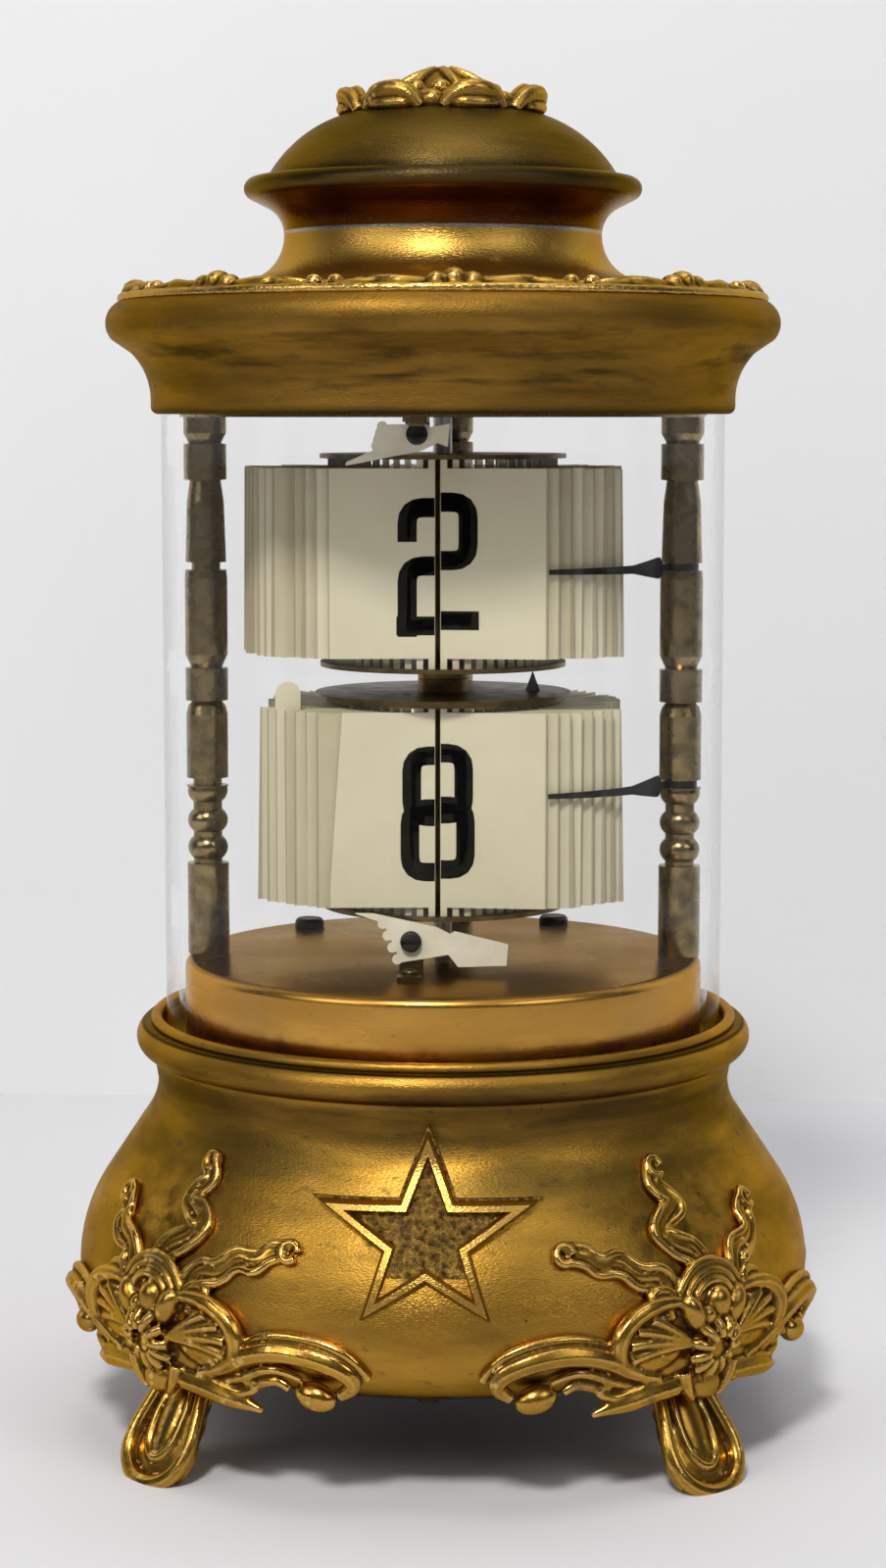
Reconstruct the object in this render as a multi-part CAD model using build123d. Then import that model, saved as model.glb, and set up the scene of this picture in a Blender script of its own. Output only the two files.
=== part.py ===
from build123d import *

import math
import os
from collections import namedtuple

# A ticket clock under a glass cylinder, in millimetres. The feet stand on z = 0, +Z is up,
# the front looks along -Y, and an azimuth is turned from the front towards +X.

# Fits shared by every piece
overrun = 1.0
pin_fit = 0.04
running_fit = 0.05
seat_gap = 0.06
open_fit = 0.2

# Base shell, from the ground up
base_bottom = 11.2
belly_rise = 6.1
belly_radius = 40.9
belly_curve_share = 0.613
neck_rise = 20.7
neck_overhang = 0.96
neck_curve_share = 0.2356
lip_rise = 5.0
lip_overhang = 3.34
lip_curve = 2.35
base_wall = 1.2
flange_width = 3.3
seat_drop = 0.4
shelf_thickness = 1.2
shelf_width = 3.6

# Bottom cover
cover_thickness = 0.8
cover_overlap = 2.5
cover_screw_count = 3

# Glass cylinder
glass_radius = 31.0
glass_wall = 1.4
glass_gap = 0.3

# Plinth inside the glass
plinth_gap = 0.74
plinth_height = 8.8
plinth_wall = 1.0
plinth_screw_inset = 4.56
plinth_screw_azimuths = (-137, 150)

# Feet, each with a spray of relief over the belly
foot_azimuths = {"front_right": 45, "rear_right": 135, "rear_left": -135, "front_left": -45}
toe_inset = 0.9
toe_radius = 4.5
toe_rise = 3.0
leg_root_radius = 2.4
leg_length = 11.5
leg_thickness = 3.6
leg_lean = 30
leg_rim = 0.9
leg_recess = 0.8
leg_tongue_rim = 2.0
leg_tongue_relief = 0.5
spray_relief = 1.6
spray_half_width = 24.0
spray_height = 17.0
spray_drop = 2.6
spray_skirt = 3.6
rosette_radius = 3.1
rosette_relief = 2.6
rosette_eye_radius = 1.1

# The right half of a spray's outline, across its half width and up its height
spray_shares = (
    (0.00, 0.03),
    (0.22, 0.08),
    (0.50, 0.00),
    (0.56, 0.14),
    (0.72, 0.16),
    (0.82, 0.08),
    (0.96, 0.18),
    (0.98, 0.36),
    (0.80, 0.50),
    (0.60, 0.52),
    (0.44, 0.46),
    (0.46, 0.66),
    (0.34, 0.80),
    (0.20, 0.72),
    (0.12, 0.94),
    (0.00, 1.00),
)

# Star frame on the front of the base
star_points = 5
star_radius = 11.3
star_waist_share = 0.40
star_frame_share = 0.74
star_rise = 12.4
star_tilt = 25
star_relief = 0.9

# Small screws
screw_radius = 1.1
screw_head_radius = 1.7
screw_head_height = 1.2
screw_slot_width = 0.5
screw_slot_depth = 0.5
base_screw_radius = 0.55
base_screw_head_radius = 1.1
base_screw_head_height = 0.6
base_screw_reach = 0.4

# Turned pillars, the right one carrying the fingers
pillar_inset = 2.46
pillar_radius = 2.37
pillar_azimuths = {"left": -90, "right": 90, "back": 180}
pillar_groove_radius = 1.6
pillar_screw_head_radius = 1.35
pillar_screw_foot_height = 0.6
pillar_screw_reach = 2.0

# A pillar's turned outline: how far up its length, and how much of its radius
pillar_shares = (
    (0.000, 0.98),
    (0.170, 0.98),
    (0.172, 0.68),
    (0.314, 0.68),
    (0.314, 0.98),
    (0.450, 0.98),
    (0.466, 0.88),
    (0.474, 0.69),
    (0.476, 1.00),
    (0.536, 1.00),
    (0.537, 0.72),
    (0.561, 1.00),
    (0.703, 1.00),
    (0.716, 0.97),
    (0.843, 0.87),
    (0.883, 0.73),
    (0.885, 1.00),
    (0.950, 1.00),
    (0.952, 0.76),
    (0.970, 1.00),
    (1.000, 1.00),
)
# Its round beads, up the length, and how much of its radius a bead's own curve has
bead_shares = (0.1995, 0.2505, 0.3065)
bead_curve_share = 0.655
bead_radius_share = 0.945

# Leaf drums
leaf_count = 60
hinge_circle = 12.4
disc_radius = 13.63
disc_thickness = 0.5
leaf_length = 11.5
leaf_thickness = 0.18
tab_width = 0.72
tab_hole = 0.85
tab_poke = 0.6
front_tab_clearance = 0.05
stack_angle = 86
stack_step = 2
spread_angle = 57
minute_leaf_rise = 7.1
minute_leaf_height = 21.2
minute_lower_gap = 0.9
minute_upper_gap = 0.5
minute_tab_recess = 0.05
minute_right_stack = 6
minute_left_stack = 7
drum_gap = 5.8
hour_leaf_height = 20.35
hour_lower_gap = 1.1
hour_upper_gap = 0.95
hour_tab_poke = 0.3
hour_right_stack = 8
hour_left_stack = 5
top_room = 5.45
cover_disc_radius = 14.2
cover_disc_thickness = 0.3
cover_hole_radius = 0.6
cover_hole_circle = 6.5
cover_hole_azimuth = -35
ear_leaf = 5
ear_height = 3.0
ear_radius = 1.4

# Drum hubs and the centre arbor
arbor_radius = 1.0
hub_radius = 2.8
hub_step_radius = 2.0
hub_gap = 0.1
tongue_circle = 10.0
tongue_azimuth = 95
tongue_height = 2.2
tongue_width = 1.6
tongue_thickness = 0.4

# Spring fingers on the right pillar
finger_thickness = 0.25
finger_wrap_height = 0.8
finger_boss_height = 2.3
finger_boss_gap = 0.9
finger_boss_width = 0.35
finger_shank_length = 3.0
finger_shank_height = 0.9
finger_tip_height = 0.5
finger_bow = 1.9
finger_tip_gap = 0.22
finger_angle = 84
finger_wrap_azimuth = -60
hour_finger_share = 0.46
minute_finger_share = 0.58

# Ivory levers and their brackets, in front of the drums
lever_front = 14.5
lever_thickness = 0.6
lever_length = 16.5
minute_lever_offset = -2.8
minute_lever_rise = 3.7
hour_lever_offset = -2.1
hour_lever_drop = 1.8
scallop_radius = 0.55
scallop_count = 4
pivot_radius = 0.55
pivot_head_radius = 1.15
pivot_head_height = 0.7
bracket_thickness = 0.5
bracket_width = 2.6
bracket_margin = 1.1
bracket_foot_length = 4.2
bracket_screw_radius = 0.6
bracket_screw_head_radius = 0.9
bracket_screw_head_height = 0.5

# Lever outlines about their pivots, in shares of the lever's length
minute_lever_shares = (
    (-0.364, 0.180),
    (-0.249, 0.180),
    (0.168, 0.092),
    (0.257, 0.047),
    (0.283, 0.066),
    (0.635, -0.019),
    (0.625, -0.156),
    (0.308, -0.168),
    (0.245, -0.086),
    (-0.066, -0.140),
    (-0.180, 0.120),
)
minute_scallop_shares = ((-0.090, -0.120), (-0.185, 0.115))
hour_lever_shares = (
    (-0.215, 0.062),
    (0.060, 0.066),
    (0.085, 0.045),
    (0.209, 0.066),
    (0.196, -0.082),
    (0.133, -0.057),
    (0.025, -0.108),
    (-0.463, -0.203),
    (-0.455, -0.178),
    (-0.265, -0.095),
)
hour_scallop_shares = ((-0.262, -0.075), (-0.225, 0.050))

# Top plate, canopy, dome and finial
top_plate_gap = 0.6
top_plate_thickness = 1.2
canopy_lift = 0.3
canopy_overhang = 1.1
canopy_glass_hold = 3.3
cove_curve = 7.1
cove_rise = 1.6
rim_overhang = 5.95
rim_curve = 2.65
rim_rise = 9.8
flare_curve = 5.0
seam_radius = 17.4
seam_rise = 19.4
canopy_wall = 1.2
scotia_curve = 3.4
scotia_sweep = 60
bead_radius = 21.76
bead_curve = 1.56
bead_rise = 5.4
dome_curve = 15.77
dome_flat_radius = 5.95
dome_rise = 13.6
dome_wall = 1.2
finial_radius = 12.0
finial_lobes = 12
finial_lobe_radius = 2.9
finial_height = 2.0
finial_skirt = 3.0
finial_step_radius = 8.6
finial_step_height = 1.0
bud_radius = 4.0
bud_height = 2.7
tie_rod_radius = 1.5

# Movement plates and pillars
plate_radius = 25.9
plate_thickness = 1.2
plate_gap = 20.0
plate_notch_radius = 2.6
movement_pillar_radius = 1.7
movement_pillar_circle = 23.3
movement_pillar_angles = (42, 160, 240, 318)
tenon_radius = 1.0

# Going train: tooth counts, modules and the angle from each arbor to the next
main_teeth = 40
centre_pinion_teeth = 10
centre_teeth = 48
third_pinion_teeth = 6
third_teeth = 45
fourth_pinion_teeth = 6
fourth_teeth = 48
escape_pinion_teeth = 6
escape_teeth = 15
ratchet_teeth = 12
main_module = 0.45
centre_module = 0.42
third_module = 0.4
fourth_module = 0.34
escape_tooth_depth = 0.8
ratchet_tooth_depth = 0.8
escape_radius = 4.4
ratchet_radius = 4.2
main_angle = 190
third_angle = 330
fourth_angle = 60
escape_angle = 130
pallet_angle = 165
balance_angle = 175
addendum_share = 0.90
dedendum_share = 1.20
tooth_root_share = 0.26
tooth_tip_share = 0.08
escape_lean_share = 0.75
ratchet_lean_share = 0.90
wheel_thickness = 1.2
pinion_length = 2.2
wheel_end_gap = 1.0
train_arbor_radius = 0.55
sleeve_radius = 1.35
train_pivot_radius = 0.35
end_shake = 0.1

# Escapement
pallet_distance = 5.9
pallet_reach = 2.6
pallet_width = 1.0
pallet_gap = 0.25
fork_length = 6.4
balance_distance = 9.6
balance_radius = 8.4
balance_rim_width = 1.2
balance_arm_width = 1.2
balance_thickness = 1.4
roller_radius = 1.4
hairspring_inner_radius = 1.4
hairspring_step = 0.45
hairspring_half_turns = 8
hairspring_width = 0.12
hairspring_height = 0.5

# Winding work and set knob
winding_arbor_radius = 1.6
winding_pivot_radius = 0.6
winding_square = 1.8
key_stem_radius = 2.2
key_stem_length = 5.0
key_wing_radius = 2.3
key_wing_centre = 2.9
key_wing_thickness = 1.2
key_eye_radius = 0.9
key_clearance = 2.0
mainspring_inner_radius = 2.1
mainspring_step = 0.9
mainspring_half_turns = 13
mainspring_width = 0.45
mainspring_height = 9.5
spring_post_radius = 0.8
click_length = 3.4
click_width = 1.1
knob_radius = 4.4
knob_height = 4.0
knob_flutes = 16
knob_flute_radius = 0.5
knob_clearance = 2.6

# Heights that follow from the sizes above
belly_height = base_bottom + belly_rise
neck_height = belly_height + neck_rise
lip_height = neck_height + lip_rise
seat_height = lip_height - seat_drop
plinth_top = seat_height + plinth_height
upper_plate_top = plinth_top - plinth_wall
upper_plate_bottom = upper_plate_top - plate_thickness
lower_plate_top = upper_plate_bottom - plate_gap
lower_plate_bottom = lower_plate_top - plate_thickness
minute_leaf_bottom = plinth_top + minute_leaf_rise
minute_leaf_top = minute_leaf_bottom + minute_leaf_height
hour_leaf_bottom = minute_leaf_top + drum_gap
hour_leaf_top = hour_leaf_bottom + hour_leaf_height
top_plate_bottom = hour_leaf_top + top_room
top_plate_top = top_plate_bottom + top_plate_thickness
canopy_bottom = top_plate_bottom + canopy_lift
glass_top = canopy_bottom + canopy_glass_hold
seam_height = canopy_bottom + seam_rise
dome_top = seam_height + dome_rise
pillar_length = top_plate_bottom - plinth_top
bore_radius = glass_radius + glass_gap
glass_bore = glass_radius - glass_wall
neck_radius = glass_radius + neck_overhang
lip_radius = glass_radius + lip_overhang
shelf_opening_radius = glass_radius - shelf_width
plinth_radius = glass_bore - plinth_gap
plinth_screw_circle = plinth_radius - plinth_screw_inset
pillar_circle = plinth_radius - pillar_inset
top_plate_radius = glass_bore - top_plate_gap
canopy_radius = glass_radius + canopy_overhang
rim_radius = glass_radius + rim_overhang
toe_circle = belly_radius - toe_inset
shoulder_width = belly_radius - neck_radius
shoulder_room = (shoulder_width**2 + neck_rise**2) / (2 * shoulder_width)
belly_curve = belly_curve_share * shoulder_room
neck_curve = neck_curve_share * shoulder_room
cover_radius = belly_radius - belly_rise - flange_width + cover_overlap
leaf_reach = leaf_length - tab_width / 2
leaf_pitch = 360 / leaf_count

Drum = namedtuple("Drum", "bottom height lower_gap upper_gap lower_poke upper_poke right_stack left_stack")
minute_drum = Drum(
    minute_leaf_bottom,
    minute_leaf_height,
    minute_lower_gap,
    minute_upper_gap,
    tab_poke,
    -minute_tab_recess,
    minute_right_stack,
    minute_left_stack,
)
hour_drum = Drum(
    hour_leaf_bottom,
    hour_leaf_height,
    hour_lower_gap,
    hour_upper_gap,
    tab_poke,
    hour_tab_poke,
    hour_right_stack,
    hour_left_stack,
)


def spot(radius, azimuth):
    """A point of the plan at a radius and an azimuth from the front."""
    turn = math.radians(azimuth)
    return radius * math.sin(turn), -radius * math.cos(turn)


def place(x, y, z=0):
    """A location at a point of the plan and a height."""
    return Pos(x, y, z)


def rod(radius, bottom, top, x=0, y=0):
    """An upright cylinder between two heights."""
    return Pos(x, y, (bottom + top) / 2) * Cylinder(radius, top - bottom)


def tube(outer_radius, inner_radius, bottom, top):
    """An upright ring between two heights."""
    return rod(outer_radius, bottom, top) - rod(inner_radius, bottom, top)


def upright(outline, bottom, top):
    """A plan outline raised between two heights."""
    return extrude(Pos(0, 0, bottom) * outline, top - bottom)


def polygon(points):
    """A flat face inside a closed run of points."""
    return make_face(Polyline(*points, close=True))


def turned(profile):
    """A profile of radius and height turned round the axis."""
    return revolve(Plane.XZ * profile, Axis.Z)


def rectangle(low_x, low_y, high_x, high_y):
    """An upright rectangle between two corners."""
    centre = Pos((low_x + high_x) / 2, (low_y + high_y) / 2)
    return centre * Rectangle(high_x - low_x, high_y - low_y)


def slotted_screw(head_radius, head_height, shank_radius, shank_length):
    """A round-headed slotted screw, its head standing up from z = 0 and its shank below."""
    head = rod(head_radius, 0, head_height)
    head = fillet(head.edges().group_by(Axis.Z)[-1], head_height / 2)
    slot = Box(2 * head_radius, screw_slot_width, 2 * screw_slot_depth)
    return head - Pos(0, 0, head_height) * slot + rod(shank_radius, -shank_length, 0)


def body_profile(grow):
    """The base's bulb from its underside to its neck, grown all round."""
    belly_centre = Vector(belly_radius - belly_curve, belly_height)
    neck_centre = Vector(neck_radius + neck_curve, neck_height)
    across = neck_centre - belly_centre
    lean = math.atan2(across.Y, across.X) - math.acos((belly_curve + neck_curve) / across.length)
    normal = Vector(math.cos(lean), math.sin(lean))
    shoulder = belly_centre + normal * (belly_curve + grow)
    throat = neck_centre - normal * (neck_curve - grow)
    half_lean = Vector(math.cos(lean / 2), math.sin(lean / 2))
    belly = Vector(belly_radius + grow, belly_height)
    neck = Vector(neck_radius + grow, neck_height)
    underside_centre = Vector(belly_radius - belly_rise, belly_height)
    underside = underside_centre - Vector(0, belly_rise + grow)
    diagonal = Vector(math.cos(math.pi / 4), -math.sin(math.pi / 4))
    lip = Vector(neck.X, lip_height)
    return make_face(
        Line((0, underside.Y), underside)
        + ThreePointArc(underside, underside_centre + diagonal * (belly_rise + grow), belly)
        + ThreePointArc(belly, belly_centre + half_lean * (belly_curve + grow), shoulder)
        + Line(shoulder, throat)
        + ThreePointArc(throat, neck_centre - half_lean * (neck_curve - grow), neck)
        + Line(neck, lip)
        + Line(lip, (0, lip_height))
        + Line((0, lip_height), (0, underside.Y))
    )


def base_shell():
    """The spun bulb with its rolled collar, a seat for the glass and a flange underneath."""
    lip_centre = lip_radius - lip_curve
    collar = Pos(lip_centre, lip_height) * Circle(lip_curve)
    collar += rectangle(shelf_opening_radius, seat_height, lip_centre, lip_height + lip_curve)
    collar -= rectangle(0, seat_height, bore_radius, lip_height + lip_curve + overrun)
    outer = body_profile(0) & rectangle(0, 0, belly_radius + overrun, seat_height)
    inner = body_profile(-base_wall) & rectangle(0, 0, belly_radius, seat_height - shelf_thickness)
    opening = rectangle(0, 0, shelf_opening_radius, seat_height + overrun)
    flange_inner = belly_radius - belly_rise - flange_width
    mouth = rectangle(0, 0, flange_inner, belly_height)
    shell = turned(outer - inner - opening - mouth + collar)
    for azimuth in foot_azimuths.values():
        shell -= foot_screw_hole(azimuth)
    for hole in cover_screw_places():
        shell -= hole * rod(base_screw_radius + pin_fit, 0, base_bottom + base_wall + overrun)
    return shell


def cover_screw_places():
    """Where the bottom cover's screws go through the flange."""
    circle = cover_radius - cover_overlap / 2
    return [place(*spot(circle, 360 * k / cover_screw_count)) for k in range(cover_screw_count)]


def bottom_cover():
    """The plate that closes the base, with holes for the winding arbor and the set knob's arbor."""
    plate = rod(cover_radius, base_bottom - cover_thickness, base_bottom)
    for hole in cover_screw_places():
        plate -= hole * rod(base_screw_radius + pin_fit, 0, base_bottom + overrun)
    plate -= rod(winding_arbor_radius + open_fit, 0, base_bottom + overrun, *main_centre)
    return plate - rod(arbor_radius + open_fit, 0, base_bottom + overrun)


def cover_screws():
    """The screws that hold the bottom cover, heads down."""
    length = cover_thickness + base_wall
    screw = slotted_screw(base_screw_head_radius, base_screw_head_height, base_screw_radius, length)
    down = Pos(0, 0, base_bottom - cover_thickness) * Rot(180, 0, 0) * screw
    return Compound([hole * down for hole in cover_screw_places()])


def relief_band(height):
    """The space over the base's bulb up to a relief's height, with a skirt below the belly."""
    skirt_inner = belly_radius + seat_gap - spray_skirt
    skirt = rectangle(skirt_inner, base_bottom - spray_drop, belly_radius + height, belly_height)
    under = rectangle(0, 0, skirt_inner, belly_height)
    return turned(body_profile(height) - under + skirt - body_profile(seat_gap))


def spray_outline():
    """A spray's mirrored outline: lower leaves, scrolled arms, shells and a crest."""
    base = base_bottom - spray_drop
    half = [(spray_half_width * x, base + spray_height * y) for x, y in spray_shares]
    mirrored = [(-x, y) for x, y in reversed(half[1:-1])]
    return polygon(half + mirrored)


def spray():
    """A spray of relief over the belly, with its rosette, at the front azimuth."""
    reach = belly_radius + rosette_relief + overrun
    plate = extrude(Plane.XZ * spray_outline(), reach) & relief_band(spray_relief)
    rosette = Pos(0, belly_height) * (Circle(rosette_radius) - Circle(rosette_eye_radius))
    boss = extrude(Plane.XZ * rosette, reach) & relief_band(rosette_relief)
    return plate + boss


def spoon(rim):
    """The spoon-shaped outline of a leg's face, drawn in by a rim."""
    root = Pos(0, leg_length) * Circle(leg_root_radius - rim * leg_root_radius / toe_radius)
    return make_hull((Circle(toe_radius - rim) + root).edges())


def leg():
    """A leg leaning out to its toe, with a raised tongue in its hollow face and a flat sole."""
    lean = math.radians(leg_lean)
    face = Plane((0, -toe_circle, toe_rise), (1, 0, 0), (0, -math.cos(lean), math.sin(lean)))
    floor = face.offset(leg_thickness / 2 - leg_recess)
    solid = extrude(face * spoon(0), leg_thickness / 2, both=True)
    solid -= extrude(floor * spoon(leg_rim), leg_recess + overrun)
    solid += extrude(floor * spoon(leg_tongue_rim), leg_tongue_relief)
    ground = Pos(0, -toe_circle, -toe_radius) * Box(4 * toe_radius, 4 * toe_radius, 2 * toe_radius)
    return solid - ground


def foot(azimuth):
    """One cast foot: a leg under the belly and the spray that holds it to the base."""
    cast = leg() - turned(body_profile(seat_gap))
    cast -= rod(cover_radius + seat_gap, 0, belly_height)
    cast += spray()
    return Rot(0, 0, azimuth) * cast - foot_screw_hole(azimuth)


def foot_screw_hole(azimuth):
    """The radial hole through the belly into a foot."""
    length = base_wall + spray_relief
    middle = belly_radius - base_wall / 2
    bore = Cylinder(base_screw_radius + pin_fit, length)
    return Rot(0, 0, azimuth) * Pos(0, -middle, belly_height) * Rot(90, 0, 0) * bore


def foot_screws():
    """The screws that hold the feet, from inside the belly."""
    seat = belly_radius - base_wall - 2 * seat_gap
    length = base_wall + base_screw_reach
    screw = slotted_screw(base_screw_head_radius, base_screw_head_height, base_screw_radius, length)
    inside = Pos(0, -seat, belly_height) * Rot(-90, 0, 0) * screw
    return Compound([Rot(0, 0, azimuth) * inside for azimuth in foot_azimuths.values()])


def star_outline(radius):
    """A five-point star standing on two points."""
    step = math.pi / star_points
    corners = []
    for k in range(2 * star_points):
        reach = radius if k % 2 == 0 else radius * star_waist_share
        corners.append((reach * math.sin(k * step), reach * math.cos(k * step)))
    return polygon(corners)


def star_emblem():
    """A plain raised star frame on the sloping shoulder."""
    tilt = math.radians(star_tilt)
    middle = (0, 0, belly_height + star_rise - belly_radius * math.tan(tilt))
    plane = Plane(middle, (1, 0, 0), (0, -math.cos(tilt), math.sin(tilt)))
    frame = star_outline(star_radius) - star_outline(star_radius * star_frame_share)
    prism = extrude(plane * frame, 2 * belly_radius)
    return prism & relief_band(star_relief)


def plinth():
    """The polished drum that covers the movement's top and carries the pillars."""
    cup = rod(plinth_radius, seat_height, plinth_top)
    cup -= rod(plinth_radius - plinth_wall, seat_height - overrun, plinth_top - plinth_wall)
    for azimuth in pillar_azimuths.values():
        cup -= rod(screw_radius + pin_fit, seat_height, plinth_top + overrun, *spot(pillar_circle, azimuth))
    for azimuth in plinth_screw_azimuths:
        place_x, place_y = spot(plinth_screw_circle, azimuth)
        cup -= rod(screw_radius + pin_fit, seat_height, plinth_top + overrun, place_x, place_y)
    hole = bracket_screw_radius + pin_fit
    cup -= rod(hole, seat_height, plinth_top + overrun, *bracket_screw_spot(minute_lever_offset))
    return cup - rod(arbor_radius + running_fit, seat_height, plinth_top + overrun)


def plinth_screws():
    """The two black screws that hold the movement up under the plinth."""
    length = plinth_wall + plate_thickness
    screw = slotted_screw(screw_head_radius, screw_head_height, screw_radius, length)
    return Compound([
        place(*spot(plinth_screw_circle, azimuth), plinth_top) * screw for azimuth in plinth_screw_azimuths
    ])


def glass_cylinder():
    """The clear tube between the base's collar and the canopy."""
    return tube(glass_radius, glass_bore, seat_height, glass_top)


def finger_height(drum, share):
    """The height of a finger on its drum's leaves."""
    return drum.bottom + drum.height * share


def pillar(azimuth, groove_heights):
    """A turned pillar, drilled at both ends and grooved at the heights of the fingers."""
    outline = [(pillar_radius * r, plinth_top + pillar_length * h) for h, r in pillar_shares]
    profile = polygon([(0, plinth_top), *outline, (0, top_plate_bottom)])
    bead_curve = pillar_radius * bead_curve_share
    bead_centre = pillar_radius * bead_radius_share - bead_curve
    for share in bead_shares:
        profile += Pos(bead_centre, plinth_top + pillar_length * share) * Circle(bead_curve)
    post = turned(profile & rectangle(0, plinth_top, pillar_radius, top_plate_bottom))
    depth = pillar_screw_reach + pin_fit
    post -= rod(screw_radius + pin_fit, plinth_top, plinth_top + depth)
    post -= rod(screw_radius + pin_fit, top_plate_bottom - depth, top_plate_bottom)
    for height in groove_heights:
        half = finger_wrap_height / 2 + pin_fit
        post -= tube(2 * pillar_radius, pillar_groove_radius, height - half, height + half)
    return place(*spot(pillar_circle, azimuth)) * post


def pillar_screws():
    """Three screws up through the plinth and three down through the top plate."""
    head = pillar_screw_head_radius
    lower_length = plinth_wall + pillar_screw_reach
    upper_length = top_plate_thickness + pillar_screw_reach
    lower = slotted_screw(head, pillar_screw_foot_height, screw_radius, lower_length)
    upper = slotted_screw(head, screw_head_height, screw_radius, upper_length)
    screws = []
    for azimuth in pillar_azimuths.values():
        x, y = spot(pillar_circle, azimuth)
        screws.append(place(x, y, upper_plate_top) * Rot(180, 0, 0) * lower)
        screws.append(place(x, y, top_plate_top) * upper)
    return Compound(screws)


def leaf_pose(k, drum):
    """A leaf's hinge azimuth and the azimuth it points along; k counts from the front right."""
    right = k < leaf_count / 2
    rank = k if right else leaf_count - 1 - k
    stack = drum.right_stack if right else drum.left_stack
    hinge = leaf_pitch * (rank + 1 / 2)
    spread_from = leaf_pitch * (stack + 1 / 2)
    if rank < stack:
        point = stack_angle + stack_step * rank
    else:
        point = hinge + spread_angle * (180 - hinge) / (180 - spread_from)
    return (hinge, point) if right else (-hinge, -point)


def leaf_outline(drum, lower_poke, upper_poke):
    """A leaf seen flat, its hinge at x = 0, with a tab at each end of its hinge edge."""
    edge = tab_width / 2
    foot_of_tab = drum.bottom - drum.lower_gap - disc_thickness - lower_poke
    head_of_tab = drum.bottom + drum.height + drum.upper_gap + disc_thickness + upper_poke
    return polygon([
        (-edge, foot_of_tab),
        (edge, foot_of_tab),
        (edge, drum.bottom),
        (leaf_reach, drum.bottom),
        (leaf_reach, drum.bottom + drum.height),
        (edge, drum.bottom + drum.height),
        (edge, head_of_tab),
        (-edge, head_of_tab),
    ])


def hang(outline, k, drum):
    """A leaf's outline made solid and hung at its place on the drum."""
    hinge, point = leaf_pose(k, drum)
    sheet = extrude(Plane.XZ * outline, leaf_thickness / 2, both=True)
    return place(*spot(hinge_circle, hinge)) * Rot(0, 0, point - 90) * sheet


def leaf_fan(drum, with_ear):
    """Every leaf of a drum but the front right one; one of them may carry a rounded ear."""
    plain = leaf_outline(drum, drum.lower_poke, drum.upper_poke)
    top = drum.bottom + drum.height
    ear = Pos(leaf_reach - ear_radius, top) * rectangle(-ear_radius, 0, ear_radius, ear_height - ear_radius)
    ear += Pos(leaf_reach - ear_radius, top + ear_height - ear_radius) * Circle(ear_radius)
    leaves = []
    for k in range(1, leaf_count):
        eared = with_ear and k == leaf_count - ear_leaf
        leaves.append(hang(plain + ear if eared else plain, k, drum))
    return Compound(leaves)


def front_leaf(drum):
    """The leaf that falls next; its tabs stop just short of the discs, which turn past it."""
    short = -disc_thickness - front_tab_clearance
    return hang(leaf_outline(drum, short, short), 0, drum)


def holed_disc(bottom):
    """A drum's disc with a square hole for each leaf's tab."""
    outline = Circle(disc_radius) - Circle(hub_step_radius)
    holes = [
        place(*spot(hinge_circle, leaf_pitch * (k + 1 / 2))) * Rot(0, 0, leaf_pitch * (k + 1 / 2))
        * Rectangle(tab_hole, tab_hole)
        for k in range(leaf_count)
    ]
    return upright(outline - holes, bottom, bottom + disc_thickness)


def lower_disc_bottom(drum):
    """The underside of a drum's lower disc."""
    return drum.bottom - drum.lower_gap - disc_thickness


def upper_disc_bottom(drum):
    """The underside of a drum's upper disc."""
    return drum.bottom + drum.height + drum.upper_gap


def cover_disc():
    """The plain disc over the minute drum's upper disc, with one small hole."""
    bottom = upper_disc_bottom(minute_drum) + disc_thickness
    plate = tube(cover_disc_radius, hub_step_radius, bottom, bottom + cover_disc_thickness)
    x, y = spot(cover_hole_circle, cover_hole_azimuth)
    return plate - rod(cover_hole_radius, bottom, bottom + cover_disc_thickness, x, y)


def hub(drum, below, above, bore):
    """A stepped hub between and through a drum's two discs."""
    low = lower_disc_bottom(drum)
    high = upper_disc_bottom(drum) + disc_thickness
    core = rod(hub_step_radius, low - below, high + above)
    barrel = rod(hub_radius, low + disc_thickness, high - disc_thickness)
    return core + barrel - rod(bore, low - below, high + above)


def minute_hub():
    """The minute drum's hub, fixed on the arbor, with a shoulder over the cover disc."""
    top = upper_disc_bottom(minute_drum) + disc_thickness + cover_disc_thickness
    shoulder = tube(hub_radius, arbor_radius, top, between_hubs() - hub_gap / 2)
    return hub(minute_drum, 0, cover_disc_thickness, arbor_radius) + shoulder


def between_hubs():
    """The height where the two hubs meet, half way between the drums' discs."""
    top = upper_disc_bottom(minute_drum) + disc_thickness + cover_disc_thickness
    return (top + lower_disc_bottom(hour_drum)) / 2


def hour_hub():
    """The hour drum's hub, free on the arbor."""
    low = lower_disc_bottom(hour_drum)
    bore = arbor_radius + running_fit
    shoulder = tube(hub_radius, bore, between_hubs() + hub_gap / 2, low)
    return hub(hour_drum, 0, 0, bore) + shoulder


def carry_tongue():
    """The pointed tongue on the cover disc that moves the hour drum on."""
    bottom = upper_disc_bottom(minute_drum) + disc_thickness + cover_disc_thickness
    blade = polygon([(-tongue_width / 2, 0), (tongue_width / 2, 0), (0, tongue_height)])
    sheet = extrude(Plane.XZ * blade, tongue_thickness / 2, both=True)
    return Rot(0, 0, tongue_azimuth) * Pos(0, -tongue_circle, bottom) * Rot(0, 0, 90) * sheet


def centre_arbor():
    """The long arbor through the movement and both drums, from the set knob to the top plate."""
    return rod(arbor_radius, knob_clearance, top_plate_top)


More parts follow.
